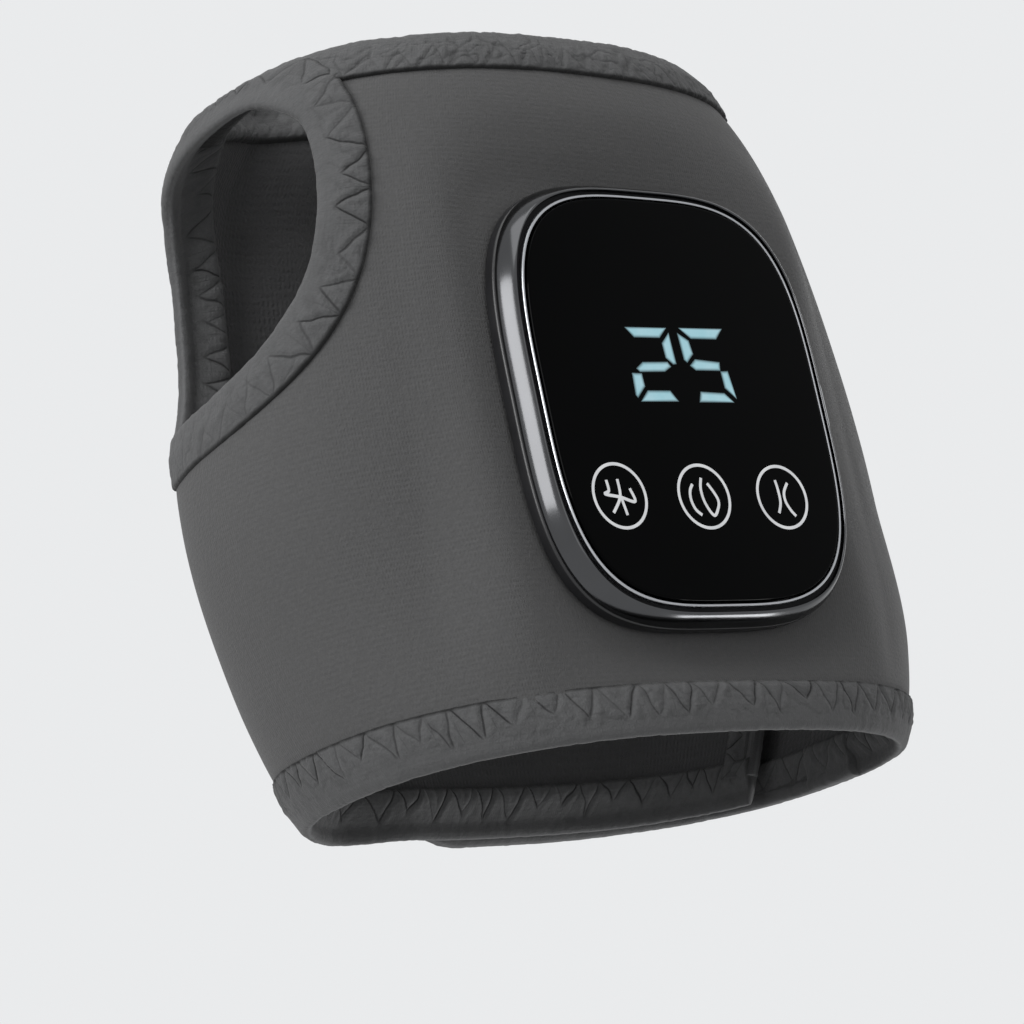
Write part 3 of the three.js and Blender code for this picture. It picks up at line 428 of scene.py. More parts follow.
def clothMaterial(name, form):
    # Knitted cloth, with a painted shade that follows the knit's relief. Where the mesh carries creases and
    # seams, painted shade darkens them, and the rolled rim has a pale line along its crest.
    material, tree, shader = newMaterial(name, {
        "Roughness": 0.9, "Sheen Weight": form["sheen"], "Sheen Roughness": 0.5, "Specular IOR Level": 0.2})
    knit = placeGroup(tree, "knit", {key.capitalize(): form[key] for key in ("pitch", "regular", "fuzz")})
    cloud = placeGroup(tree, "patches", {"Scale": form["cloudScale"], "Contrast": 1.6})
    base, height = form["colour"], knit.outputs["Height"]
    colour = spreadColour(tree, cloud.outputs[0], base, 1 - form["cloud"], 1 + form["cloud"])
    pale = scaled(base, shadeForm["pale"])
    fibres = mathNode(tree, "SUBTRACT", knit.outputs["Fibres"], shadeForm["fibreLevel"])
    colour = mixColour(tree, mathNode(tree, "MULTIPLY", fibres, form["speck"], clamp=True), colour, pale)
    # painted shade that follows the knit's relief: the cloth darkens where the knit's height is greater
    knitShade = mathNode(tree, "ADD", height, 0.5, clamp=True)
    knitShade = mathNode(tree, "MULTIPLY", knitShade, shadeForm["knitShadeShare"])
    colour = mixColour(tree, knitShade, colour, scaled(base, shadeForm["knitPaintedShade"]))
    if form.get("creased"):
        # painted shade in the stitch creases, the small folds and the seams
        dark = mathNode(tree, "MAXIMUM", stitchShadeLines(tree, form["lineWidth"]), readAttribute(tree, "paintedShade"))
        dark = mathNode(tree, "MULTIPLY", dark, form["creased"], clamp=True)
        colour = mixColour(tree, dark, colour, scaled(base, shadeForm["paintedCreaseShade"]))
        sunk = mathNode(tree, "MULTIPLY", dark, shadeForm["creaseDepth"])
        height = mathNode(tree, "SUBTRACT", height, sunk)
        # a pale line along the crest of the rim
        amount = mathNode(tree, "MULTIPLY", readAttribute(tree, "paleRim"), shadeForm["paleRimShare"], clamp=True)
        colour = mixColour(tree, amount, colour, pale)
    tree.links.new(colour, shader.inputs["Base Color"])
    setRoughness(tree, shader, cloud, *shadeForm["clothRoughness"])
    addBump(tree, shader, height, form["bump"], "cloth")
    return material


def metalMaterial(name, form):
    material, tree, shader = newMaterial(name, {"Metallic": 1.0, "Roughness": form["roughness"]})
    lines = placeGroup(tree, "brushed", {"Along": form["along"], "Scale": form["scale"]})
    cloud = placeGroup(tree, "patches", {"Scale": 60.0, "Contrast": 1.5})
    colour = spreadColour(tree, cloud.outputs[0], form["colour"], 0.86, 1.1)
    tree.links.new(colour, shader.inputs["Base Color"])
    setRoughness(tree, shader, cloud, form["roughness"], form["smudge"])
    addBump(tree, shader, lines.outputs[0], form["bump"], "metal")
    return material


def mouldedMaterial(name, form):
    # Moulded plastic or rubber: fine spark-eroded grain and a few paler rubbed places.
    material, tree, shader = newMaterial(name, {
        "Roughness": form["roughness"], "Specular IOR Level": form.get("shine", 0.5)})
    cloud = placeGroup(tree, "patches", {"Scale": form.get("cloudScale", 90.0), "Contrast": 2.0})
    grain = noiseNode(tree, Scale=form.get("grain", 2600.0), Detail=2.0)
    colour = spreadColour(tree, cloud.outputs[0], form["colour"], 0.8, 1.25)
    tree.links.new(colour, shader.inputs["Base Color"])
    setRoughness(tree, shader, cloud, form["roughness"] - 0.07, 0.15)
    addBump(tree, shader, grain.outputs[0], form["bump"], "moulded")
    return material


clothForms = {
    "coverFabric": {
        "colour": (0.086, 0.086, 0.087), "pitch": 0.00048, "regular": 0.16, "fuzz": 1.5, "cloud": 0.07,
        "cloudScale": 24.0, "speck": 0.8, "sheen": 0.15, "bump": 0.45},
    "tapeFabric": {
        "colour": (0.094, 0.095, 0.097), "pitch": 0.00042, "regular": 0.1, "fuzz": 1.9, "cloud": 0.14,
        "cloudScale": 120.0, "speck": 0.7, "sheen": 0.12, "bump": 0.5, "creased": 1.0, "lineWidth": 0.22},
    "liningFabric": {
        "colour": (0.062, 0.062, 0.064), "pitch": 0.0009, "regular": 0.3, "fuzz": 2.4, "cloud": 0.14,
        "cloudScale": 60.0, "speck": 0.5, "sheen": 0.15, "bump": 0.6},
    "loopPile": {
        "colour": (0.02, 0.02, 0.022), "pitch": 0.0011, "regular": 0.3, "fuzz": 3.2, "cloud": 0.2,
        "cloudScale": 200.0, "speck": 0.9, "sheen": 0.2, "bump": 1.0},
}
materials = {name: clothMaterial(name, form) for name, form in clothForms.items()}

metalForms = {
    "brightTrim": {
        "colour": (0.42, 0.43, 0.45), "roughness": 0.22, "smudge": 0.12, "bump": 0.02,
        "along": (1.0, 1.0, 9.0), "scale": 700.0},
    "darkChrome": {
        "colour": (0.078, 0.079, 0.082), "roughness": 0.1, "smudge": 0.08, "bump": 0.05,
        "along": (1.0, 1.0, 6.0), "scale": 500.0},
    "screwSteel": {
        "colour": (0.45, 0.46, 0.47), "roughness": 0.25, "smudge": 0.2, "bump": 0.3,
        "along": (1.0, 9.0, 1.0), "scale": 1500.0},
    "motorSteel": {
        "colour": (0.5, 0.51, 0.52), "roughness": 0.22, "smudge": 0.2, "bump": 0.35,
        "along": (12.0, 1.0, 1.0), "scale": 900.0},
    "springWire": {
        "colour": (0.55, 0.5, 0.4), "roughness": 0.2, "smudge": 0.15, "bump": 0.2,
        "along": (1.0, 1.0, 5.0), "scale": 1200.0},
    "weightMetal": {
        "colour": (0.3, 0.3, 0.31), "roughness": 0.35, "smudge": 0.2, "bump": 0.4,
        "along": (8.0, 1.0, 1.0), "scale": 1000.0},
}
materials.update({name: metalMaterial(name, form) for name, form in metalForms.items()})

mouldedForms = {
    "satinBlack": {"colour": (0.010, 0.010, 0.011), "roughness": 0.3, "bump": 0.15},
    "clampBlack": {"colour": (0.012, 0.012, 0.013), "roughness": 0.5, "bump": 0.4},
    "gasketRubber": {"colour": (0.008, 0.008, 0.009), "roughness": 0.8, "bump": 0.5, "shine": 0.2},
    "saddleRubber": {
        "colour": (0.02, 0.02, 0.021), "roughness": 0.75, "bump": 0.6, "shine": 0.3, "grain": 1800.0},
    "filmAmber": {
        "colour": (0.45, 0.19, 0.04), "roughness": 0.28, "bump": 0.2, "cloudScale": 300.0, "grain": 900.0},
    "boardGreen": {
        "colour": (0.015, 0.11, 0.045), "roughness": 0.35, "bump": 0.5, "cloudScale": 500.0, "grain": 700.0},
    "cellFoil": {
        "colour": (0.06, 0.16, 0.36), "roughness": 0.25, "bump": 0.5, "cloudScale": 160.0, "grain": 500.0},
}
materials.update({name: mouldedMaterial(name, form) for name, form in mouldedForms.items()})


def glassMaterial(form):
    # Black cover glass: a deep plate under a hard clear face, with the faintest wiping marks.
    material, tree, shader = newMaterial("blackGlass", {
        "Specular IOR Level": form["shine"], "Roughness": form["roughness"]})
    cloud = placeGroup(tree, "patches", {"Scale": 35.0, "Contrast": 2.0})
    colour = mixColour(tree, cloud.outputs[0], form["deep"], form["pale"])
    tree.links.new(colour, shader.inputs["Base Color"])
    setRoughness(tree, shader, cloud, form["roughness"], 0.06)
    return material


def lightMaterial(name, form):
    # A lit sign with a little unevenness. Where it fades, its light falls off over the rims of the bars.
    material, tree, shader = newMaterial(name, {
        "Emission Strength": form["strength"], "Roughness": 0.4, "Specular IOR Level": 0.1})
    cloud = placeGroup(tree, "patches", {"Scale": form["scale"], "Contrast": 1.8})
    colour = mixColour(tree, cloud.outputs[0], form["colour"], form["edge"])
    if form.get("fades"):
        colour = mixColour(tree, readAttribute(tree, "glow"), scaled(form["colour"], 0.006), colour)
    tree.links.new(colour, shader.inputs["Emission Color"])
    base = mixColour(tree, cloud.outputs[0], scaled(form["colour"], 0.1), scaled(form["edge"], 0.1))
    tree.links.new(base, shader.inputs["Base Color"])
    return material


materials["blackGlass"] = glassMaterial({
    "shine": 0.03, "roughness": 0.06, "deep": (0.0004, 0.0005, 0.0006), "pale": (0.0009, 0.0010, 0.0012)})
materials["digitLight"] = lightMaterial("digitLight", {
    "strength": 0.8, "scale": 300.0, "colour": (0.33, 0.62, 0.70), "edge": (0.47, 0.70, 0.78), "fades": True})
materials["signLight"] = lightMaterial("signLight", {
    "strength": 0.95, "scale": 300.0, "colour": (0.66, 0.67, 0.68), "edge": (0.5, 0.51, 0.53)})
print(len(materials), "materials are ready")

# Mesh tools


def newPiece(name, points, faces, material, body="wrap", uv=None, values=None, sharpAngle=None,
             node=None, slot=None, fill=None):
    # points are in millimetres of the wrap's own frame, and uv is one pair per point, in metres
    mesh = bpy.data.meshes.new(name)
    places = (np.asarray(points, float).reshape(-1, 3) + rowShift) * mm
    mesh.from_pydata(places.tolist(), [], [tuple(int(i) for i in face) for face in faces])
    if uv is not None:
        layer = mesh.uv_layers.new(name="clothMap")
        corners = np.empty(len(mesh.loops), dtype=np.int64)
        mesh.loops.foreach_get("vertex_index", corners)
        layer.data.foreach_set("uv", np.asarray(uv, float).reshape(-1, 2)[corners].ravel())
    for key, value in (values or {}).items():
        carried = mesh.attributes.new(key, "FLOAT", "POINT")
        carried.data.foreach_set("value", np.asarray(value, np.float32).ravel())
    mesh.validate()
    solid = bmesh.new()
    solid.from_mesh(mesh)
    bmesh.ops.recalc_face_normals(solid, faces=solid.faces)
    solid.to_mesh(mesh)
    solid.free()
    mesh.polygons.foreach_set("use_smooth", [True] * len(mesh.polygons))
    if sharpAngle is not None:
        mesh.set_sharp_from_angle(angle=math.radians(sharpAngle))
    mesh.materials.append(materials[material])
    piece = bpy.data.objects.new(name, mesh)
    scene.collection.objects.link(piece)
    if body:
        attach(piece, body)
    if node:
        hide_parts(node)
    return piece


def gridFaces(columns, rows, closed=False, ringed=False):
    # closed joins the last column to the first, ringed the last row to the first
    i, j = np.meshgrid(np.arange(columns - (not closed)), np.arange(rows - (not ringed)), indexing="ij")
    across, upwards = (i + 1) % columns * rows, (j + 1) % rows
    return np.stack([i * rows + j, across + j, across + upwards, i * rows + upwards], axis=-1).reshape(-1, 4)


def sheetPiece(name, front, back, faces, uv, material, **said):
    # a closed sheet from the grids of its two sides, with the points that no face uses left out
    used, compact = np.unique(faces, return_inverse=True)
    faces = compact.reshape(faces.shape)
    count = len(used)
    edges = np.concatenate([faces[:, [k, (k + 1) % 4]] for k in range(4)])
    forward, backward = (edges * [count, 1]).sum(axis=1), (edges * [1, count]).sum(axis=1)
    rim = edges[~np.isin(forward, backward)]
    sides = np.stack([rim[:, 1], rim[:, 0], rim[:, 0] + count, rim[:, 1] + count], axis=-1)
    points = np.vstack([side.reshape(-1, 3)[used] for side in (front, back)])
    faces = np.vstack([faces, faces[:, ::-1] + count, sides])
    return newPiece(name, points, faces, material, uv=uv.reshape(-1, 2)[np.tile(used, 2)], **said)


def runningLength(path):
    # how far along the path each of its points lies
    return np.concatenate([[0], np.cumsum(np.linalg.norm(np.diff(path, axis=0), axis=1))])


def latticeValues(x, y, seed):
    # repeatable random numbers on whole places
    mixed = np.sin(x * 127.1 + y * 311.7 + seed * 74.7) * 43758.5453
    return mixed - np.floor(mixed)


def softNoise(x, y, seed):
    # smooth noise from -1 to 1, one lump per unit
    x0, y0 = np.floor(x), np.floor(y)
    tx, ty = smoothStep(x - x0, 0, 1), smoothStep(y - y0, 0, 1)
    low = latticeValues(x0, y0, seed) * (1 - tx) + latticeValues(x0 + 1, y0, seed) * tx
    high = latticeValues(x0, y0 + 1, seed) * (1 - tx) + latticeValues(x0 + 1, y0 + 1, seed) * tx
    return 2 * (low * (1 - ty) + high * ty) - 1


def layeredNoise(u, v, layers):
    # layers are (height, lump length, lump width, seed)
    return sum(high * softNoise(u / long, v / wide, seed) for high, long, wide, seed in layers)


# Cover and lining of the wrap

coverForm = {
    "step": 0.9,
    "underTape": 1.6,  # how far from the fold the cover starts, under the tape
    "liningUnderTape": 5.4,
    "hollow": (3.6, 16.5),  # the fabric dips to the module between these distances
    "bandWidth": 7.2,
    "seamDip": 0.12,
    "seamReach": 1.4,
    "swell": 0.3,
    "lumps": ((0.7, 31, 27, 3), (0.3, 12, 13, 5)),
    "moduleDip": 0.35,
    "dipReach": (3.4, 9.5),
    "window": (-2.5, -2.0),  # the hole for the module, under the housing's flange
    "endGap": 1.5,  # degrees left free at the ends, under the tape
    "liningStep": 1.3,
    "thickness": 2.0,
    "liningThickness": 1.1,
    "quilt": ((0.25, 16, 14, 11), (0.12, 5, 5, 12)),
}
paddingForm = {
    "spacing": 3.0,
    "pressure": 4.0,
    "tension": 60.0,
    "bending": 0.02,
    "frames": 20,
    "most": 1.1,  # how far a point may move
    "underBand": 0.5,  # the hold ends this far under the tape's edge
    "moduleHold": (4.5, 6.0),
    "overlap": (5, 248),  # the wall is held before and past these angles
}


def heelShare(angle, z):
    # 1 on the edge of the heel opening, less inside it
    across = (angle - heelForm["angle"]) / heelForm["halfAngle"]
    upwards = (z - heelForm["z"] - across * heelForm["tilt"]) / heelForm["halfHeight"]
    power = heelForm["roundness"]
    return (np.abs(across) ** power + np.abs(upwards) ** power) ** (1.0 / power)


def heelGap(angle, z):
    # rough distance from the edge of the heel opening, in millimetres
    share = heelShare(angle, z)
    pitch = degreePitch(angle, z)
    reach = np.hypot((angle - heelForm["angle"]) * pitch, z - heelForm["z"]) / np.maximum(share, 1e-6)
    return (share - 1.0) * reach


def wallGrid(span, step, inset, loss=None):
    # angle, height and cloth coordinates over the wall between two angles, set in from the folded rims
    dense = np.linspace(*span, 2000)
    lengths = runningLength(facePoint(dense, np.full_like(dense, wrapForm["height"] / 2)))
    rows = int(wrapForm["height"] / step) + 1
    along = np.linspace(0, lengths[-1], int(lengths[-1] / step) + 1)
    angle = np.repeat(np.interp(along, lengths, dense)[:, None], rows, axis=1)
    lost = loss(angle) if loss else 0 * angle
    low, high = wrapForm["fold"] + lost + inset, wallHigh(angle) - lost - inset
    z = low + np.linspace(0, 1, rows)[None, :] * (high - low)
    return angle, z, np.stack([np.repeat(along[:, None], rows, axis=1), z], axis=-1) * mm


def paddingSwell(angle, z, isHeld, name):
    # A coarse copy of the cover, held where it is sewn or screwed down, is blown up as cloth.
    rest = (wallPoint(angle, z, 0 * angle, coverForm["hollow"]) + rowShift) * mm
    mesh = bpy.data.meshes.new(name)
    mesh.from_pydata(rest.reshape(-1, 3).tolist(), [], gridFaces(*angle.shape)[:, ::-1].tolist())
    pad = bpy.data.objects.new(name, mesh)
    scene.collection.objects.link(pad)
    pins = pad.vertex_groups.new(name="pins")
    pins.add(np.flatnonzero(isHeld(angle, z).ravel()).tolist(), 1.0, "REPLACE")
    cloth = pad.modifiers.new("padding", "CLOTH")
    settings = cloth.settings
    settings.vertex_group_mass = "pins"
    settings.use_pressure = True
    settings.uniform_pressure_force = paddingForm["pressure"]
    settings.tension_stiffness = settings.compression_stiffness = paddingForm["tension"]
    settings.shear_stiffness = paddingForm["tension"] / 3
    settings.bending_stiffness = paddingForm["bending"]
    settings.effector_weights.gravity = 0.0
    cloth.point_cache.frame_start, cloth.point_cache.frame_end = 1, paddingForm["frames"]
    for number in range(1, paddingForm["frames"] + 1):
        scene.frame_set(number)
    blown = pad.evaluated_get(bpy.context.evaluated_depsgraph_get()).to_mesh()
    places = np.empty(len(blown.vertices) * 3)
    blown.vertices.foreach_get("co", places)
    moved = ((places.reshape(rest.shape) - rest) / mm * outward(angle, z)).sum(axis=-1)
    bpy.data.objects.remove(pad)
    bpy.data.meshes.remove(mesh)
    scene.frame_set(1)
    print(name, "swells by", np.round(moved.min(), 2), "to", np.round(moved.max(), 2), "mm before the cap")
    return paddingForm["most"] * np.tanh(moved / paddingForm["most"])


def resampled(values, columns, rows):
    # values of a coarse grid, on a finer one that covers the same stretch
    along, up = np.linspace(0, values.shape[0] - 1, columns), np.linspace(0, values.shape[1] - 1, rows)
    part = np.stack([np.interp(along, np.arange(values.shape[0]), column) for column in values.T], axis=1)
    return np.stack([np.interp(up, np.arange(values.shape[1]), row) for row in part])


def coverSwell(shape, span, inset, isHeld, name, loss=None):
    # how far the padding lifts the cover, on a grid of this shape
    coarse = wallGrid(span, paddingForm["spacing"], inset, loss)[:2]
    return resampled(paddingSwell(*coarse, isHeld, name), *shape)


def wrapHeld(angle, z):
    # sewn under the bindings, screwed to the module, or under the closed flap
    band = coverForm["bandWidth"] - paddingForm["underBand"]
    start, end = paddingForm["overlap"]
    bottom, top = z < wrapForm["fold"] + band, z > wallHigh(angle) - band
    module = nearModule(angle, z, *paddingForm["moduleHold"]) > 0.3
    return bottom | top | (heelGap(angle, z) < band) | module | (angle > end) | (angle < start)


def coverRelief(angle, z, uv):
    # depth of the cover's soft unevenness, negative where it swells
    swell = -coverForm["swell"] * layeredNoise(uv[..., 0] / mm, uv[..., 1] / mm, coverForm["lumps"])
    bottomGap = z - wrapForm["fold"] - coverForm["bandWidth"]
    topGap = wallHigh(angle) - coverForm["bandWidth"] - z
    heelSeam = heelGap(angle, z) - coverForm["bandWidth"]
    gaps = np.stack([bottomGap, topGap, heelSeam])
    seam = np.minimum(np.exp(-np.clip(gaps, 0, 20) / coverForm["seamReach"]).sum(axis=0), 1.2)
    swell = swell * smoothStep(gaps.min(axis=0), -1.0, 9.0)
    beside = nearModule(angle, z, *coverForm["dipReach"])
    return swell * (1 - beside) + coverForm["seamDip"] * seam + coverForm["moduleDip"] * beside


def faceMiddles(faces, *grids):
    return [grid.reshape(-1)[faces].mean(axis=1) for grid in grids]


def wrapCover():
    span, inset = (0.0, wrapForm["innerEnd"] - coverForm["endGap"]), coverForm["underTape"]
    angle, z, uv = wallGrid(span, coverForm["step"], inset)
    swell = coverSwell(angle.shape, span, inset, wrapHeld, "wrapPadding")
    front = wallPoint(angle, z, coverRelief(angle, z, uv) - swell, coverForm["hollow"])
    back = wallPoint(angle, z, coverForm["thickness"], coverForm["hollow"])
    faces = gridFaces(*angle.shape)
    middles = faceMiddles(faces, angle, z)
    window = nearModule(*middles, *coverForm["window"]) > 0.5
    faces = faces[(heelGap(*middles) > inset) & ~window]
    sheetPiece(
        "wrapCover", front, back, faces, uv, "coverFabric", node="outer_shell", slot="fabric", fill=0.7)


def wrapLining():
    span, inset = (0.0, wrapForm["innerEnd"] - coverForm["endGap"]), coverForm["liningUnderTape"]
    angle, z, uv = wallGrid(span, coverForm["liningStep"], inset)
    inside = liningDepth(angle, z) + wrapForm["lining"]
    front = wallPoint(angle, z, inside + layeredNoise(uv[..., 0] / mm, uv[..., 1] / mm, coverForm["quilt"]))
    back = wallPoint(angle, z, inside - coverForm["liningThickness"])
    faces = gridFaces(*angle.shape)[:, ::-1]
    faces = faces[heelGap(*faceMiddles(faces, angle, z)) > inset]
    sheetPiece(
        "wrapLining", front, back, faces, uv, "liningFabric", node="inner_lining", slot="lining", fill=0.4)


wrapCover()
wrapLining()
print("cover and lining are laid")

# Bindings: folded tape, puckered by its zigzag stitches

tapeForm = {
    "step": 0.32,
    "band": 7.2,
    "proud": 0.6,  # how far the tape's face stands out of the wall
    "innerProud": 0.9,
    "roll": 1.3,  # reach of the rolled rim into the band
    "rimPower": 0.85,  # a round rim would have 1, a squarer one less
    "pinchOuter": 0.35,
    "pinchInner": 3.4,
    "pinchReach": (3.5, 6.0),  # on the outer and on the inner face
    "seamRound": 1.3,
    "sunk": 0.7,  # how deep the sewn edges go into the wall
    "outerRows": 28,
    "rimRows": 10,
    "innerRows": 12,
    "crown": 0.22,
    "stitch": 5.2,  # width of one V of the zigzag
    "creaseDepth": 0.3,
    "creaseWidth": 0.34,
    # strength of the painted shade in the stitch creases
    "paintedStitchShade": 1.0,
    "wrinkle": 0.10,
    "crumple": 0.1,  # small sharp folds between the stitches
    "drawnBack": 0.3,
    "rimLine": 0.22,  # half width of the pale line along the crest where the tape turns inwards
}


def evenPath(path, step, closed=False):
    # an edge as rows of (angle, z, more), resampled evenly along the wall
    if closed:
        path = np.vstack([path, path[:1]])
    lengths = runningLength(facePoint(path[:, 0], path[:, 1]))
    at = np.linspace(0, lengths[-1], int(lengths[-1] / step) + 1)
    if closed:
        at = at[:-1]
    return at, [np.interp(at, lengths, column) for column in path.T]


def columnsOf(*values):
    return np.stack(np.broadcast_arrays(*values), axis=-1)


def tapeEdge(angle, z, way, closed=False):
    # the edge a tape is folded over, its band lying along way, which is (angle, z)
    s, (angle, z) = evenPath(columnsOf(angle, z), tapeForm["step"], closed)
    return {"s": s, "angle": angle, "z": z, "alongAngle": 0 * s + way[0], "alongZ": 0 * s + way[1],
            "band": 0 * s + tapeForm["band"]}


def zigzag(along, across, band, seed, form):
    # V stitches, open at the seam: distance from each leg, the legs' strength and the rolls between
    random = np.random.default_rng(seed)
    total = along.max() + 2 * form["stitch"]
    widths = form["stitch"] * random.uniform(0.72, 1.28, int(total / form["stitch"] / 0.72) + 3)
    starts = np.concatenate([[0.0], np.cumsum(widths)]) - form["stitch"]
    count = len(starts)
    i = np.clip(np.searchsorted(starts, along, side="right") - 1, 0, count - 2)
    width = starts[i + 1] - starts[i]
    reach = random.uniform(0.55, 0.88, count)[i] * band
    lean = random.uniform(0.35, 0.65, count)[i]
    weights = random.uniform(0.3, 1.0, (count, 2))
    s = along - starts[i]
    bend = 0.3 * softNoise(along / 1.9, across / 1.9, seed + 1)
    leftX, rightX = lean * width, (1 - lean) * width
    left = (s * reach - across * leftX) / np.hypot(reach, leftX) + bend
    right = ((width - s) * reach - across * rightX) / np.hypot(reach, rightX) + bend
    inside = smoothStep(reach - across, -0.4, 0.8) * smoothStep(across, 0.0, 0.5)
    roll = np.exp(-((np.minimum(np.abs(left), np.abs(right)) - 0.85) / 0.5) ** 2) * inside
    return left, right, weights[i, 0] * inside, weights[i, 1] * inside, roll


def seamLift(fromSeam):
    # a quarter circle, from 0 on the seam to 1 a little away from it
    return np.sqrt(1 - (1 - np.clip(fromSeam / tapeForm["seamRound"], 0, 1)) ** 2)


def tapeProfile(band, fold, proud, thickness, form):
    # distance from the edge and depth, over the outer face, round the rim and back along the inner face
    roll = np.minimum(form["roll"], band * 0.45)
    outerReach, innerReach = form["pinchReach"]

    def outerFace(d):
        return -proud + form["pinchOuter"] * (1 - smoothStep(d, 0, outerReach))

    def innerFace(d):
        return thickness + form["innerProud"] - form["pinchInner"] * (1 - smoothStep(d, 0, innerReach))

    outerD = band + (roll - band) * np.linspace(0, 1, form["outerRows"])[None, :]
    outerDepth = outerFace(outerD) * seamLift(band - outerD)
    outerDepth[:, 0] = form["sunk"]
    turn = np.linspace(0, np.pi, form["rimRows"] + 2)[1:-1]
    start, end = outerFace(roll), innerFace(roll)
    rimD = roll - (roll + fold) * np.abs(np.sin(turn))[None, :] ** form["rimPower"]
    across = np.sign(np.cos(turn)) * np.abs(np.cos(turn)) ** form["rimPower"]
    rimDepth = (start + end) / 2 - (end - start) / 2 * across
    innerD = roll + (band - roll) * np.linspace(0, 1, form["innerRows"])[None, :]
    innerDepth = thickness + (innerFace(innerD) - thickness) * seamLift(band - innerD)
    innerDepth[:, -1] = thickness - form["sunk"]
    distance, depth = (outerD, rimD, innerD), (outerDepth, rimDepth, innerDepth)
    return np.concatenate(distance, axis=1), np.concatenate(depth, axis=1)


def tapeStitches(s, gaps, band, ease, seed, form):
    # zigzags of the outer and the inner face, whose gaps from the seam are given, joined to one set
    outer, inner = (zigzag(s, gap, band - 0.5, seed + more, form) for gap, more in zip(gaps, (0, 7)))
    left, right, *strengths = (np.where(gaps[1] < 99.0, b, a) for a, b in zip(outer, inner))
    leftWeight, rightWeight, rollUp = (strength * ease for strength in strengths)
    crease = np.maximum(*(
        weight * np.exp(-(leg / form["creaseWidth"]) ** 2)
        for leg, weight in ((left, leftWeight), (right, rightWeight))))
    # the legs' weights carry the painted shade of the stitch creases to the material
    return crease, rollUp, {
        "legLeft": left, "legRight": right, "leftWeight": leftWeight * form["paintedStitchShade"],
        "rightWeight": rightWeight * form["paintedStitchShade"]}


def tapeOver(name, edge, thickness, form, seed, closed=False, plain=None, slot="tape", **said):
    # edge has arrays: s, angle, z, alongAngle, alongZ, band, and fold and proud where they change
    form = {**tapeForm, **form}
    length, band = edge["s"], edge["band"][:, None]
    fold = edge.get("fold", 0 * length + wrapForm["fold"])[:, None]
    proud = edge.get("proud", 0 * length + form["proud"])[:, None]
    distance, depth = tapeProfile(band, fold, proud, thickness, form)
    count, rows = distance.shape
    s = np.repeat(length[:, None], rows, axis=1)
    steps = np.hypot(np.diff(distance, axis=1), np.diff(depth, axis=1))
    girth = np.concatenate([np.zeros((count, 1)), np.cumsum(steps, axis=1)], axis=1)
    # the profile's own normal, along which the relief stands
    stepD, stepT = np.gradient(distance, axis=1), np.gradient(depth, axis=1)
    size = np.hypot(stepD, stepT) + 1e-9
    normalD, normalT = -stepT / size, stepD / size
    row = np.arange(rows)[None, :]
    onOuter, onInner = row < form["outerRows"], row >= form["outerRows"] + form["rimRows"]
    fromSeam, innerGap = (np.where(on, band - distance, 99.0) for on in (onOuter, onInner))
    ease = np.ones((count, 1)) if plain is None else plain[:, None]  # the stitches fade out at plain places
    crease, rollUp, stitches = tapeStitches(s, (fromSeam, innerGap), band, ease, seed, form)
    wrinkle = form["wrinkle"] * (
        0.6 * softNoise(s / 1.1, girth / 2.3, seed + 2) + 0.4 * softNoise(s / 0.6, girth / 0.9, seed + 3)
        + 0.9 * softNoise(s / 7.0, girth / 4.0, seed + 4))
    bent = 0.9 * softNoise(s / 2.4, girth / 2.4, seed + 5)
    folds = 1 - np.abs(softNoise(s / 2.1 + bent, girth / 1.6 - bent, seed + 6)) * 3.2
    folds = np.clip(folds, 0, 1) ** 2 * (onOuter | onInner)
    # painted shade in the small folds and along the outer and inner seams, carried to the tape's material
    paintedShade = folds * form["crumple"] * 1.6
    paintedShade[:, :4] = (1.0, 1.0, 0.9, 0.4)  # painted shade along the seam, as a dark line
    paintedShade[:, -2:] = (0.75, 1.0)
    turning = girth[:, form["outerRows"] + form["rimRows"] // 2][:, None]
    paleRim = np.exp(-((girth - turning) / form["rimLine"]) ** 2)
    crown = form["crown"] * np.sin(np.pi * np.clip(fromSeam / band, 0, 1))
    edgeFade = np.ones(rows)
    edgeFade[[0, 1, -2, -1]] = (0, 0.4, 0.4, 0)
    dents = form["creaseDepth"] * crease + form["crumple"] * folds
    relief = (wrinkle + crown + 0.16 * rollUp - dents) * edgeFade[None, :]
    distance = np.maximum(distance + normalD * relief, -fold)
    depth = depth + normalT * relief

    angle, z = edge["angle"][:, None] + 0 * distance, edge["z"][:, None] + 0 * distance
    movedAngle = angle + distance * edge["alongAngle"][:, None] / degreePitch(angle, z)
    points = wallPoint(movedAngle, z + distance * edge["alongZ"][:, None], depth)
    faces = [tuple(face) for face in gridFaces(count, rows, closed, ringed=True)]
    if not closed:  # the cut ends of the tape
        faces += [tuple(range(rows))[::-1], tuple(range((count - 1) * rows, count * rows))]
    if form.get("turned"):
        faces = [face[::-1] for face in faces]
    return newPiece(name, points, faces, "tapeFabric", uv=np.stack([s, girth], axis=-1) * mm, slot=slot,
                    values={"paintedShade": paintedShade, "paleRim": paleRim, **stitches}, **said)


def foldUnderCover(fromEnd):
    # the rim draws back where another tape crosses over it
    return wrapForm["fold"] - tapeForm["drawnBack"] * (1 - smoothStep(fromEnd, 2.5, 6.0))


def bottomTape():
    edge = tapeEdge(np.linspace(0, wrapForm["innerEnd"], 1500), wrapForm["fold"], (0, 1))
    edge["fold"] = foldUnderCover(edge["s"])
    tapeOver("bottomTape", edge, wrapForm["wall"], {"proud": 0.35}, 21, node="bottom_binding")


def heelTop(angle):
    # height of the upper edge of the heel opening, where there is one
    across = np.clip((angle - heelForm["angle"]) / heelForm["halfAngle"], -1, 1)
    upwards = (1 - np.abs(across) ** heelForm["roundness"]) ** (1 / heelForm["roundness"])
    return heelForm["z"] + across * heelForm["tilt"] + upwards * heelForm["halfHeight"]


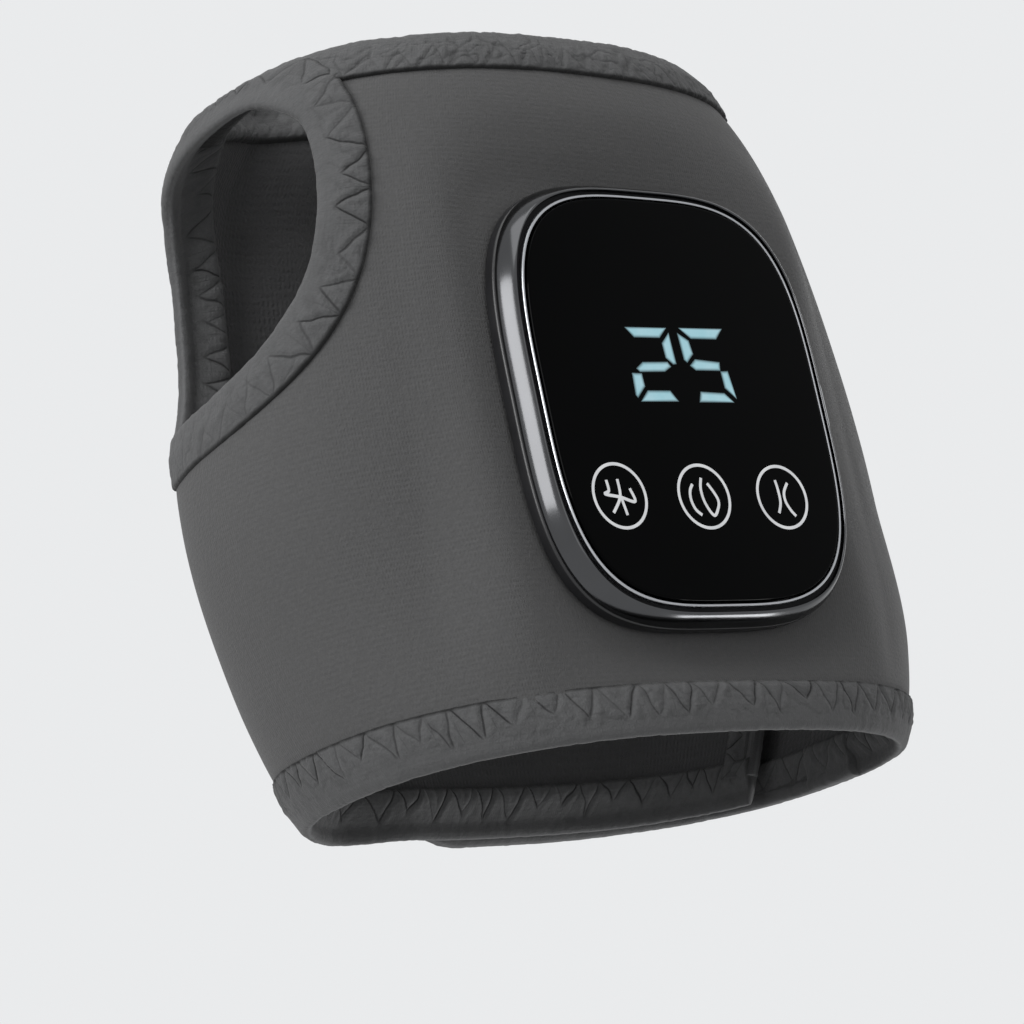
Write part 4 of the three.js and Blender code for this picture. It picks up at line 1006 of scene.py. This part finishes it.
def topTape():
    dense = np.linspace(0, wrapForm["innerEnd"], 1500)
    edge = tapeEdge(dense, wallHigh(dense), (0, -1))
    edge["fold"] = foldUnderCover(edge["s"])
    over = np.abs(edge["angle"] - heelForm["angle"]) < heelForm["halfAngle"]
    room = wallHigh(edge["angle"]) - heelTop(edge["angle"])
    edge["band"] = np.where(over, np.minimum(tapeForm["band"], room), tapeForm["band"])
    tapeOver("topTape", edge, wrapForm["wall"], {
        "turned": True, "creaseDepth": 0.1, "wrinkle": 0.18, "crumple": 0.2, "crown": 0.25, "stitch": 4.6,
        "paintedStitchShade": 0.4}, 43, node="top_binding")


def heelTape():
    turn = np.linspace(0, 2 * np.pi, 3000, endpoint=False)
    across, upwards = (squared(part, heelForm["roundness"]) for part in (np.cos(turn), np.sin(turn)))
    z = heelForm["z"] + across * heelForm["tilt"] + heelForm["halfHeight"] * upwards
    edge = tapeEdge(heelForm["angle"] + heelForm["halfAngle"] * across, z, (0, 0), closed=True)
    angle, z = edge["angle"], edge["z"]
    # the band lies at right angles to the edge, and is narrower where the rim of the wrap is near
    alongAngle = (np.roll(z, -2) - np.roll(z, 2))
    alongZ = -(np.roll(angle, -2) - np.roll(angle, 2)) * degreePitch(angle, z)
    size = np.hypot(alongAngle, alongZ)
    edge["alongAngle"], edge["alongZ"] = alongAngle, alongZ = alongAngle / size, alongZ / size
    room = (wallHigh(angle) - 0.5 - z) / np.maximum(alongZ, 0.05)
    edge["band"] = np.where(alongZ > 0.05, np.minimum(tapeForm["band"], room), tapeForm["band"])
    low = smoothStep(z, heelForm["z"] - 24, heelForm["z"] - 12)
    # at the top it lies over the top tape
    edge["proud"] = 0.25 + 0.45 * low + 0.6 * smoothStep(z, heelForm["z"] + 13, heelForm["z"] + 19)
    edge["fold"] = wrapForm["fold"] + 1.3 * smoothStep(z, heelForm["z"] + 15, heelForm["z"] + 22)
    tapeOver("heelTape", edge, wrapForm["wall"], {"innerProud": 1.35, "pinchInner": 4.1, "turned": True}, 65,
             closed=True, plain=0.3 + 0.7 * low, node="heel_binding")


def innerEndTape():
    low, high = wrapForm["fold"] + 4.0, wallHigh(wrapForm["innerEnd"]) - 4.0
    edge = tapeEdge(wrapForm["innerEnd"], np.linspace(low, high, 400), (-1, 0))
    tapeOver("innerEndTape", edge, wrapForm["wall"], {
        "proud": 1.1, "innerProud": 1.25, "crown": 0.1, "pinchInner": 1.6}, 87, node="inner_end_binding")


bottomTape()
topTape()
heelTape()
innerEndTape()
print("bindings of the wrap are sewn")

# Closure flap

flapForm = {
    "step": 1.1,
    "inset": 1.2,
    "endGap": 1.5,  # degrees left free at the free end, under the tape
    "ripple": (0.22, 26, 22),  # height, length and width of its soft lumps
    "fold": (-6.0, 6.0),  # the cloth between these angles crosses the fold
    "foldStep": 0.5,
    "foldInset": 5.0,
    "foldDepth": -0.28,
    "foldRipple": (0.1, 9, 11, 131),
    "foldReach": 3.0,  # the bend runs over this far before and past the front
}


def flapPitch():
    return float(degreePitch(np.array([wrapForm["flapFree"]]), np.array([wrapForm["height"] / 2]))[0])


def flapLoss(angle):
    share = np.clip((angle - wrapForm["flapFree"]) * flapPitch() / wrapForm["flapCorner"], 0, 1)
    return wrapForm["flapCorner"] * (1 - np.sqrt(np.clip(1 - (1 - share) ** 2, 0, 1)))


def flapHeld(angle, z):
    band = coverForm["bandWidth"] - paddingForm["underBand"] + flapLoss(angle)
    low, high = z < wrapForm["fold"] + band, z > wallHigh(angle) - band
    return low | high | (angle < wrapForm["flapFree"] + band / flapPitch()) | (angle > flapForm["fold"][0])


def flapSheet(name, depth, material, node, slot, seed, isLining):
    span, inset = (wrapForm["flapFree"] + flapForm["endGap"], wrapForm["flapRoot"]), flapForm["inset"]
    angle, z, uv = wallGrid(span, flapForm["step"], inset, flapLoss)
    relief = layeredNoise(uv[..., 0] / mm, uv[..., 1] / mm, [(*flapForm["ripple"], seed)])
    if not isLining:
        relief -= coverSwell(angle.shape, span, inset, flapHeld, "flapPadding", flapLoss)
    faces = gridFaces(*angle.shape)[:, ::-1 if isLining else 1]
    front, back = (wallPoint(angle, z, far) for far in (depth + relief, coverForm["thickness"] + 0 * z))
    sheetPiece(name, front, back, faces, uv, material, body="closure_flap", node=node, slot=slot, fill=0.5)


def flapTape():
    pitch, corner, free = flapPitch(), wrapForm["flapCorner"], wrapForm["flapFree"]
    turn = np.linspace(0, np.pi / 2, 60)
    loss = corner * (1 - np.sin(turn))
    cornerAngle = free + corner * (1 - np.cos(turn)) / pitch
    straight = np.linspace(wrapForm["flapRoot"], free + corner / pitch, 400)
    upright = np.linspace(wrapForm["fold"] + corner, float(wallHigh(np.array(free))) - corner, 200)[1:-1]
    # rows of (angle, z, tilt of the band, its side), from the root along the bottom and back along the top
    path = np.vstack([
        columnsOf(straight, wrapForm["fold"], np.pi / 2, 1.0),
        columnsOf(cornerAngle, wrapForm["fold"] + loss, turn, 1.0)[::-1][1:],
        columnsOf(free, upright, 0.0, 0.0),
        columnsOf(cornerAngle, wallHigh(cornerAngle) - loss, turn, -1.0),
        columnsOf(straight, wallHigh(straight), np.pi / 2, -1.0)[::-1][1:],
    ])
    s, (angle, z, tilt, side) = evenPath(path, tapeForm["step"])
    edge = {
        "s": s, "angle": angle, "z": z, "alongAngle": np.cos(tilt), "alongZ": np.sign(side) * np.sin(tilt),
        "band": 0 * s + tapeForm["band"], "fold": foldUnderCover(np.minimum(s, s[-1] - s))}
    tapeOver("flapTape", edge, wrapForm["flapWall"], {
        "proud": 0.9, "innerProud": 1.2, "turned": True, "pinchInner": 1.4}, 109, body="closure_flap",
        node="flap_binding")


def foldPieces():
    # fabric and tape that cross the fold
    first, last = flapForm["fold"]
    angle, z, uv = wallGrid((first, last), flapForm["foldStep"], flapForm["foldInset"])
    ripple = layeredNoise(uv[..., 0] / mm, uv[..., 1] / mm, [flapForm["foldRipple"]])
    atEdge = np.minimum(angle - first, last - angle) < 0.25
    depth = np.where(atEdge, 0.3, flapForm["foldDepth"] + ripple)
    faces, back = gridFaces(*angle.shape), wallPoint(angle, z, coverForm["thickness"] + 0 * z)
    pieces = []
    for name, front, way, material, slot in (
            ("foldStrip", depth, 1, "coverFabric", "fabric"),
            ("foldLining", wrapForm["wall"] - depth, -1, "liningFabric", "lining")):
        pieces.append(sheetPiece(
            name, wallPoint(angle, z, front), back, faces[:, ::way], uv, material, body=None, slot=slot))
    dense = np.linspace(first, last, 200)
    for name, height, way in (("foldTapeLow", wrapForm["fold"], 1), ("foldTapeHigh", wallHigh(dense), -1)):
        edge = tapeEdge(dense, height, (0, way))
        edge["band"] += 0.2
        pieces.append(tapeOver(name, edge, wrapForm["wall"], {
            "proud": 1.0, "innerProud": 1.3, "pinchInner": 2.0, "turned": way < 0, "paintedStitchShade": 0.5},
            151 + (way < 0), body=None))
    front = facePoint(np.array([0.0]), np.array([50.0]))[0] + rowShift
    for piece in pieces:
        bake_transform(piece)


flapSheet("flapCover", 0.0, "coverFabric", "flap_shell", "fabric", 17, False)
flapSheet("flapLining", wrapForm["flapWall"], "liningFabric", "flap_lining", "lining", 19, True)
flapTape()
foldPieces()
print("flap is sewn on")

# Closure patches

patchForm = {"shape": (90, 120), "z": (12.0, 92.0), "pile": 0.12, "lump": 0.9, "backing": 0.1}


def patchPiece(name, angles, outerDepth, thickness, body, node, seed):
    columns, rows = patchForm["shape"]
    angle, z = np.meshgrid(np.linspace(*angles, columns), np.linspace(*patchForm["z"], rows), indexing="ij")
    i, j = np.ogrid[:columns, :rows]
    inside = np.zeros(angle.shape, bool)
    inside[1:-1, 1:-1] = True
    pile = patchForm["pile"] * softNoise(i * patchForm["lump"], j * patchForm["lump"], seed)
    front = wallPoint(angle, z, outerDepth - thickness * inside + np.where(inside, pile, 0.0))
    back = wallPoint(angle, z, outerDepth + patchForm["backing"] * np.sign(thickness) + 0 * z)
    pitch = float(degreePitch(np.array([angles[0]]), np.array([50.0]))[0])
    faces = gridFaces(columns, rows)[:, ::int(np.sign(thickness))]
    uv = np.stack([angle * pitch, z], axis=-1) * mm
    sheetPiece(name, front, back, faces, uv, "loopPile", body=body, node=node, slot="hook")


patchPiece("loopPatch", (264.0, 322.0), -0.2, 0.7, "wrap", "loop_patch", 171)
patchPiece("hookPatch", (-86.0, -36.0), 3.9, -0.7, "closure_flap", "hook_patch", 173)
print("closure patches are on")

# Casing of the module, swept finely from the same profiles as the solids

casingForm = {
    "turns": 260,
    "trim": (-0.3, -0.72),
    "groove": 4.95,  # depth of the black channel between trim and bezel
    "bezel": (-1.5, -3.2),
    "housing": (-3.3, -2.0),
    "housingTop": 2.5,
    "bezelTop": 5.75,
    "shoulderBulge": 0.18,  # how far the bezel's sloping side stands out of a straight one
    "lensBevel": 0.3,
    "sharpAngle": 28,
}


def moduleToWrap(x, y, depth):
    spin = math.radians(moduleForm["spin"])
    x, y, depth = (np.asarray(v, float) for v in (x, y, depth))
    return np.stack([
        moduleForm["x"] + x * math.cos(spin) - y * math.sin(spin),
        moduleForm["seatY"] - depth + 0 * x,
        moduleForm["z"] + x * math.sin(spin) + y * math.cos(spin),
    ], axis=-1)


def outlinePoint(turns, inset=0.0):
    return [(half - inset) * squared(part, moduleForm["roundness"]) for half, part in (
        (moduleForm["halfWidth"], np.cos(turns)), (moduleForm["halfHeight"], np.sin(turns)))]


def outlineTurns():
    dense = np.linspace(0, 2 * np.pi, 20001)
    lengths = runningLength(np.stack(outlinePoint(dense), axis=-1))
    return np.interp(np.linspace(0, lengths[-1], casingForm["turns"], endpoint=False), lengths, dense)


def sweptGrid(turns, profile):
    # profile is a list of (inset from the lens edge, depth over the seat), outside first
    inset, depth = np.array(profile, float).T
    x, y = outlinePoint(turns[:, None], inset[None, :])
    return moduleToWrap(x, y, depth[None, :] + 0 * x), np.stack([x, y], axis=-1) * mm


def sweptRing(name, profile, material, node, slot, plate=False):
    turns = outlineTurns()
    points, uv = sweptGrid(turns, profile)
    count, rows = len(turns), len(profile)
    faces = [tuple(face) for face in gridFaces(count, rows, closed=True, ringed=not plate)]
    if plate:
        faces += [tuple(range(rows - 1, count * rows, rows))[::-1], tuple(range(0, count * rows, rows))]
    return newPiece(
        name, points, faces, material, uv=uv, sharpAngle=casingForm["sharpAngle"], node=node, slot=slot)


def roundedCorner(corner, radius, startTurn, endTurn, steps):
    turns = np.radians(np.linspace(startTurn, endTurn, steps))
    return [(corner[0] + radius * math.cos(turn), corner[1] + radius * math.sin(turn)) for turn in turns]


portForm = {"from": 20.0, "to": 36.0, "radius": 1.93, "straight": 2.84, "depth": 3.13}


def cutPort(piece):
    # opening round the charging socket, a bar with round ends that runs along the module's x
    half = np.linspace(-90, 90, 17)
    turns = np.radians(np.concatenate([half, half + 180]))
    across = np.repeat([1.0, -1.0], len(half)) * portForm["straight"] + portForm["radius"] * np.cos(turns)
    depth = portForm["depth"] + portForm["radius"] * np.sin(turns)
    count = len(turns)
    points = np.vstack([moduleToWrap(portForm[end] + 0 * across, across, depth) for end in ("from", "to")])
    faces = [(i, (i + 1) % count, (i + 1) % count + count, i + count) for i in range(count)]
    faces += [tuple(range(count))[::-1], tuple(range(count, 2 * count))]
    bar = newPiece("portBar", points, faces, "satinBlack", None)
    cut = piece.modifiers.new("port", "BOOLEAN")
    cut.operation, cut.solver, cut.object = "DIFFERENCE", "EXACT", bar
    bpy.context.view_layer.update()
    opened = bpy.data.meshes.new_from_object(piece.evaluated_get(bpy.context.evaluated_depsgraph_get()))
    piece.modifiers.clear()
    piece.data = opened
    opened.name = piece.name
    opened.set_sharp_from_angle(angle=math.radians(casingForm["sharpAngle"]))
    bpy.data.objects.remove(bar)


def makeCasing():
    bezelInner, bezelOuter = casingForm["bezel"]
    trimInner, trimOuter = casingForm["trim"]
    housingOuter, housingInner = casingForm["housing"]
    top, housingTop, groove = (casingForm[key] for key in ("bezelTop", "housingTop", "groove"))
    face, trimTop = moduleForm["face"], moduleForm["face"] - casingForm["lensBevel"]
    slopeStart, slopeEnd = np.array([bezelOuter, 3.0]), np.array([bezelInner - 0.35, top - 0.1])
    slope = slopeEnd - slopeStart
    bulgeWay = np.array([-slope[1], slope[0]]) / np.linalg.norm(slope) * casingForm["shoulderBulge"]
    bezel = [
        (bezelOuter + 0.3, 2.55), (bezelOuter + 0.08, 2.65), (bezelOuter, 2.8),
        *(tuple(slopeStart + slope * s + bulgeWay * 4 * s * (1 - s)) for s in np.linspace(0, 1, 18)),
        (bezelInner - 0.2, top - 0.01), (bezelInner - 0.06, top - 0.02), (bezelInner, top - 0.12),
        (bezelInner, 4.9), (bezelInner, 3.0)]
    trim = [
        (trimOuter, groove), (trimOuter, trimTop - 0.15), (trimOuter + 0.06, trimTop - 0.04),
        (trimOuter + 0.13, trimTop), (trimInner - 0.13, trimTop), (trimInner - 0.06, trimTop - 0.04),
        (trimInner, trimTop - 0.15), (trimInner, groove)]
    channel = [
        (bezelInner - 0.02, groove), (trimOuter + 0.02, groove), (trimOuter + 0.02, groove - 0.15),
        (bezelInner - 0.02, groove - 0.15)]
    housing = [
        (housingOuter + 0.5, 0.3), (housingOuter, 0.7),
        *roundedCorner((housingOuter + 0.5, housingTop - 0.5), 0.5, 180, 90, 6),
        (housingInner, housingTop), (housingInner, 1.4), (housingInner, 0.3)]
    lens = [
        (0.0, 5.3), (0.0, trimTop), (0.04, face - 0.16), (0.12, face - 0.06), (0.24, face - 0.015), (0.4, face)]
    cutPort(sweptRing("bezel", bezel, "darkChrome", "bezel_ring", "gunmetal"))
    sweptRing("trim", trim, "brightTrim", "trim_ring", "silver")
    sweptRing("trimChannel", channel, "gasketRubber", "trim_ring", "black_plastic")
    cutPort(sweptRing("housingWall", housing, "satinBlack", "lower_housing", "dark_plastic"))
    sweptRing("glass", lens, "blackGlass", "cover_lens", "black_glass", plate=True)


def tubPiece():
    # the part of the lower housing that stands inside the wrap
    profile = [
        (-3.2, 0.3), (4.0, 0.3), (4.0, -8.4), (4.6, -8.9), (5.2, -8.9), (5.2, -7.9), (5.2, 1.3), (-3.2, 1.3)]
    floorRows = (4, 5)  # no wall joins these two rows, and each is closed by a flat floor
    turns = outlineTurns()[::2]
    points, uv = sweptGrid(turns, profile)
    count, rows = len(turns), len(profile)
    faces = gridFaces(count, rows, closed=True, ringed=True).reshape(count, rows, 4)
    faces = [tuple(face) for face in np.delete(faces, floorRows[0], axis=1).reshape(-1, 4)]
    faces += [tuple(range(row, count * rows, rows)) for row in floorRows]
    newPiece("housingTub", points, faces, "satinBlack", uv=uv, sharpAngle=casingForm["sharpAngle"],
             slot="dark_plastic")


makeCasing()
tubPiece()
print("casing is swept")

# Lit digits and key signs, on the face of the glass

signForm = {
    "rise": 0.03,
    "crown": 0.02,
    "sunk": 0.02,  # how deep the sides of a line go into the glass
    "keys": (-17.3, -0.95, 14.8),
    "keyY": -15.65,
    "ring": 4.9,
    "ringWidth": 0.48,
    "stroke": 0.48,
    # rims of a bar, as (grown by, lift over the glass, light)
    "barLevels": [(0.08, -0.02, 0.0), (0.08, 0.02, 0.0), (-0.22, 0.035, 0.7), (-0.45, 0.04, 1.0)],
}
digitBars = [
    [(-9.3, 10.8), (-1.2, 11.0), (-2.9, 9.4), (-7.9, 9.3)],
    [(-0.9, 10.2), (-0.7, 5.3), (-1.3, 5.2), (-2.5, 6.2), (-2.6, 8.5)],
    [(-7.3, 5.3), (-2.4, 5.5), (-1.9, 4.8), (-3.3, 4.0), (-8.2, 3.8), (-8.7, 4.3)],
    [(-9.8, 3.5), (-8.0, 3.5), (-7.9, 1.5), (-9.7, -0.3), (-10.0, 0.1)],
    [(-9.2, -0.9), (-7.5, 0.8), (-3.1, 0.9), (-1.9, -0.7)],
    [(1.4, 11.1), (10.1, 11.3), (8.5, 9.6), (3.4, 9.5)],
    [(0.9, 10.2), (2.8, 9.1), (3.1, 7.0), (1.6, 5.6), (1.1, 6.0)],
    [(3.3, 6.1), (8.1, 5.8), (7.9, 4.5), (3.0, 4.4), (2.1, 5.1)],
    [(8.0, 4.3), (9.4, 4.4), (10.0, 0.0), (8.1, 1.7)],
    [(3.0, 0.9), (7.7, 0.8), (9.3, -0.6), (2.4, -0.7)],
]
keySigns = [
    [  # six rays, two of them hooked
        [(-2.0, 2.4), (-1.9, 0.8), (-2.7, 0.25), (0.05, -0.2), (2.65, -0.85), (2.15, 1.15)],
        [(0.15, 2.55), (0.0, -0.15), (-1.85, -2.6)],
        [(0.2, -0.3), (0.7, -2.95)],
    ],
    [  # an arc beside a leaf
        [(-1.85, 1.9), (-2.55, 0.9), (-2.75, -0.5), (-2.25, -2.0), (-1.2, -2.9)],
        [(0.1, 2.9), (-0.4, 1.1), (-0.1, -1.05), (1.15, -2.95), (2.3, -1.75), (2.6, -0.55), (1.95, 0.85),
         (1.1, 2.05)],
    ],
    [  # two arcs back to back
        [(-0.75, 2.7), (-0.55, 1.1), (-0.6, -0.85), (-1.35, -2.55)],
        [(1.65, 2.25), (0.6, 0.8), (0.5, -0.7), (1.2, -2.1), (2.0, -3.0)],
    ],
]


def grownOutline(outline, by):
    # the outline moved outwards by a distance, inwards where it is negative
    flat = np.array(outline, float)
    onward = np.roll(flat, -1, axis=0) - flat
    area = (flat[:, 0] * np.roll(flat[:, 1], -1) - flat[:, 1] * np.roll(flat[:, 0], -1)).sum()
    normal = np.stack([onward[:, 1], -onward[:, 0]], axis=-1) * np.sign(area)
    normal /= np.linalg.norm(normal, axis=1, keepdims=True)
    before = np.roll(normal, 1, axis=0)
    shared = np.maximum(1 + (normal * before).sum(axis=1, keepdims=True), 0.45)
    return flat + by * (normal + before) / shared


def litBars(name, outlines, material, slot):
    # flat islands just over the glass, whose light fades out over their rims
    points, faces, glow = [], [], []
    levels = signForm["barLevels"]
    for outline in outlines:
        count, start = len(outline), len(glow)
        for grown, lift, light in levels:
            ring = grownOutline(outline, grown)
            points.append(moduleToWrap(ring[:, 0], ring[:, 1], np.full(count, moduleForm["face"] + lift)))
            glow += [light] * count
        for a in range(start, start + (len(levels) - 1) * count, count):
            b = a + count
            faces += [(a + j, a + (j + 1) % count, b + (j + 1) % count, b + j) for j in range(count)]
        faces += [tuple(range(len(glow) - count, len(glow))), tuple(range(start, start + count))[::-1]]
    newPiece(name, np.vstack(points), faces, material, values={"glow": glow}, slot=slot)


def smoothStroke(points, steps=10):
    # a smooth line through all the points, a cubic between each two
    p = np.array([points[0], *points, points[-1]], float)
    line = []
    for i in range(1, len(p) - 2):
        for t in np.linspace(0, 1, steps, endpoint=False):
            line.append(0.5 * ((2 * p[i]) + (p[i + 1] - p[i - 1]) * t
                               + (2 * p[i - 1] - 5 * p[i] + 4 * p[i + 1] - p[i + 2]) * t * t
                               + (3 * p[i] - p[i - 1] - 3 * p[i + 1] + p[i + 2]) * t ** 3))
    return np.array([*line, p[-2]])


def strokeSides(line):
    # left side, middle and right side of a brush stroke
    tangent = np.gradient(line, axis=0)
    tangent /= np.linalg.norm(tangent, axis=1, keepdims=True) + 1e-9
    side = np.stack([-tangent[:, 1], tangent[:, 0]], axis=-1) * signForm["stroke"] / 2
    return line + side, line, line - side


def ringSides(centre):
    turns = np.linspace(0, 2 * np.pi, 96, endpoint=False)
    way, half = np.stack([np.cos(turns), np.sin(turns)], axis=-1), signForm["ringWidth"] / 2
    return [centre + (signForm["ring"] + more) * way for more in (half, 0.0, -half)]


def linesPiece(name, lines, closed=False, node=None):
    # lines that stand a little over the glass, each given as its left side, middle and right side
    rise, crown, sunk = signForm["rise"], signForm["crown"], signForm["sunk"]
    lift = moduleForm["face"] + np.array([-sunk, rise, rise + crown, rise, -sunk])
    points, faces, start = [], [], 0
    for left, middle, right in lines:
        across = np.stack([left, left, middle, right, right], axis=1)
        points.append(moduleToWrap(across[..., 0], across[..., 1], lift[None, :]).reshape(-1, 3))
        end = start + len(points[-1])
        faces += [tuple(start + face) for face in gridFaces(len(left), 5, closed, ringed=True)[:, ::-1]]
        if not closed:
            faces += [tuple(range(start, start + 5)), tuple(range(end - 5, end))[::-1]]
        start = end
    newPiece(name, np.vstack(points), faces, "signLight", node=node, slot="key_print")


litBars("litDigits", digitBars, "digitLight", "key_print")
for side, centreX, sign in zip(("left", "middle", "right"), signForm["keys"], keySigns):
    centre = np.array([centreX, signForm["keyY"]])
    linesPiece(f"keySign_{side}", [strokeSides(smoothStroke(stroke) + centre) for stroke in sign])
    linesPiece(f"keyRing_{side}", [ringSides(centre)], closed=True, node=f"key_ring_{side}")
print("digits and signs are lit")

# Finishes of the CAD pieces that stay

cadFinishes = {
    "heating_film_front": "filmAmber",
    "heating_film_medial": "filmAmber",
    "temperature_sensor": "clampBlack",
    "clamp_frame": "clampBlack",
    "lens_gasket": "gasketRubber",
    "display_unit": "clampBlack",
    "circuit_board": "boardGreen",
    "usb_socket": "screwSteel",
    "battery": "cellFoil",
    "motor_saddle": "saddleRubber",
    "motor_case": "motorSteel",
    "motor_rotor": "weightMetal",
}
for name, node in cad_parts.items():
    if name.startswith("touch_spring"):
        finish = "springWire"
    elif "screw" in name:
        finish = "screwSteel"
    else:
        finish = cadFinishes.get(name)
    if finish is None or node.hide_render:
        continue
    node.data.materials.clear()
    node.data.materials.append(materials[finish])
print("CAD pieces are finished")

# Floor, backdrop and light

stageForm = {
    "floor": (0.80, 0.80, 0.79),
    "floorSize": 4.0,
    "floorDrop": 0.0002,  # the floor lies this far under the wrap
    "floorFade": (0.2, 0.8),  # the floor turns into the backdrop between these distances
    "worldStrength": 0.38,
    "backdrop": (0.82, 0.83, 0.84),
}


def makeFloor():
    mesh = bpy.data.meshes.new("floor")
    half, low = stageForm["floorSize"] / 2, -stageForm["floorDrop"]
    mesh.from_pydata([(-half, -half, low), (half, -half, low), (half, half, low), (-half, half, low)],
                     [], [(0, 1, 2, 3)])
    material = bpy.data.materials.new("floorPaper")
    material.use_nodes = True
    tree = material.node_tree
    shader = tree.nodes["Principled BSDF"]
    shader.inputs["Base Color"].default_value = (*stageForm["floor"], 1.0)
    shader.inputs["Roughness"].default_value = 0.9
    clear = tree.nodes.new("ShaderNodeBsdfTransparent")
    side = tree.nodes.new("ShaderNodeNewGeometry")
    path = tree.nodes.new("ShaderNodeLightPath")
    mix = tree.nodes.new("ShaderNodeMixShader")
    # The photo looks up at the object from below, and light reaches its underside.
    lets = mathNode(tree, "MAXIMUM", side.outputs["Backfacing"], path.outputs["Is Diffuse Ray"])
    for ray in ("Is Shadow Ray", "Is Glossy Ray"):
        lets = mathNode(tree, "MAXIMUM", lets, path.outputs[ray])
    place = tree.nodes.new("ShaderNodeTexCoord")
    away = addNode(tree, "ShaderNodeVectorMath", operation="LENGTH")
    tree.links.new(place.outputs["Object"], away.inputs[0])
    near, far = stageForm["floorFade"]
    fade = addNode(
        tree, "ShaderNodeMapRange", {"From Min": near, "From Max": far}, interpolation_type="SMOOTHSTEP")
    tree.links.new(away.outputs["Value"], fade.inputs["Value"])
    lets = mathNode(tree, "MAXIMUM", lets, fade.outputs[0])
    tree.links.new(lets, mix.inputs[0])
    tree.links.new(shader.outputs[0], mix.inputs[1])
    tree.links.new(clear.outputs[0], mix.inputs[2])
    tree.links.new(mix.outputs[0], tree.nodes["Material Output"].inputs["Surface"])
    mesh.materials.append(material)
    floor = bpy.data.objects.new("floor", mesh)
    scene.collection.objects.link(floor)


def makeWorld():
    world = bpy.data.worlds.new("studio")
    world.use_nodes = True
    scene.world = world
    tree = world.node_tree
    lit = tree.nodes["Background"]
    lit.inputs["Color"].default_value = (1.0, 1.0, 1.0, 1.0)
    lit.inputs["Strength"].default_value = stageForm["worldStrength"]
    seen = tree.nodes.new("ShaderNodeBackground")
    seen.inputs["Color"].default_value = (*stageForm["backdrop"], 1.0)
    seen.inputs["Strength"].default_value = 1.0
    path = tree.nodes.new("ShaderNodeLightPath")
    shown = mathNode(tree, "MAXIMUM", path.outputs["Is Camera Ray"], path.outputs["Is Glossy Ray"])
    shown = mathNode(tree, "MAXIMUM", shown, path.outputs["Is Transmission Ray"])
    mix = tree.nodes.new("ShaderNodeMixShader")
    tree.links.new(shown, mix.inputs[0])
    tree.links.new(lit.outputs[0], mix.inputs[1])
    tree.links.new(seen.outputs[0], mix.inputs[2])
    tree.links.new(mix.outputs[0], tree.nodes["World Output"].inputs["Surface"])


def addLamp(name, place, size, power, target=(0.0, 0.0, 0.06)):
    lamp = bpy.data.lights.new(name, "AREA")
    lamp.shape = "RECTANGLE"
    lamp.size, lamp.size_y = size
    lamp.energy = power
    lampObject = bpy.data.objects.new(name, lamp)
    lampObject.location = place
    aim = Vector(target) - Vector(place)
    lampObject.rotation_mode = "QUATERNION"
    lampObject.rotation_quaternion = aim.to_track_quat("-Z", "Y")
    scene.collection.objects.link(lampObject)


makeFloor()
makeWorld()
addLamp("leftKey", (-0.98, -0.14, 0.34), (0.6, 0.7), 7.6)
addLamp("softTop", (-0.3, -0.5, 1.0), (0.8, 0.8), 3.3)
addLamp("frontFill", (-0.25, -1.15, 0.1), (0.7, 0.7), 1.3)
addLamp("lowStrip", (0.56, 0.15, -0.66), (0.5, 0.22), 3.0)
addLamp("farFill", (0.7, 0.85, 0.5), (0.9, 0.9), 6.0)
print("stage is lit")
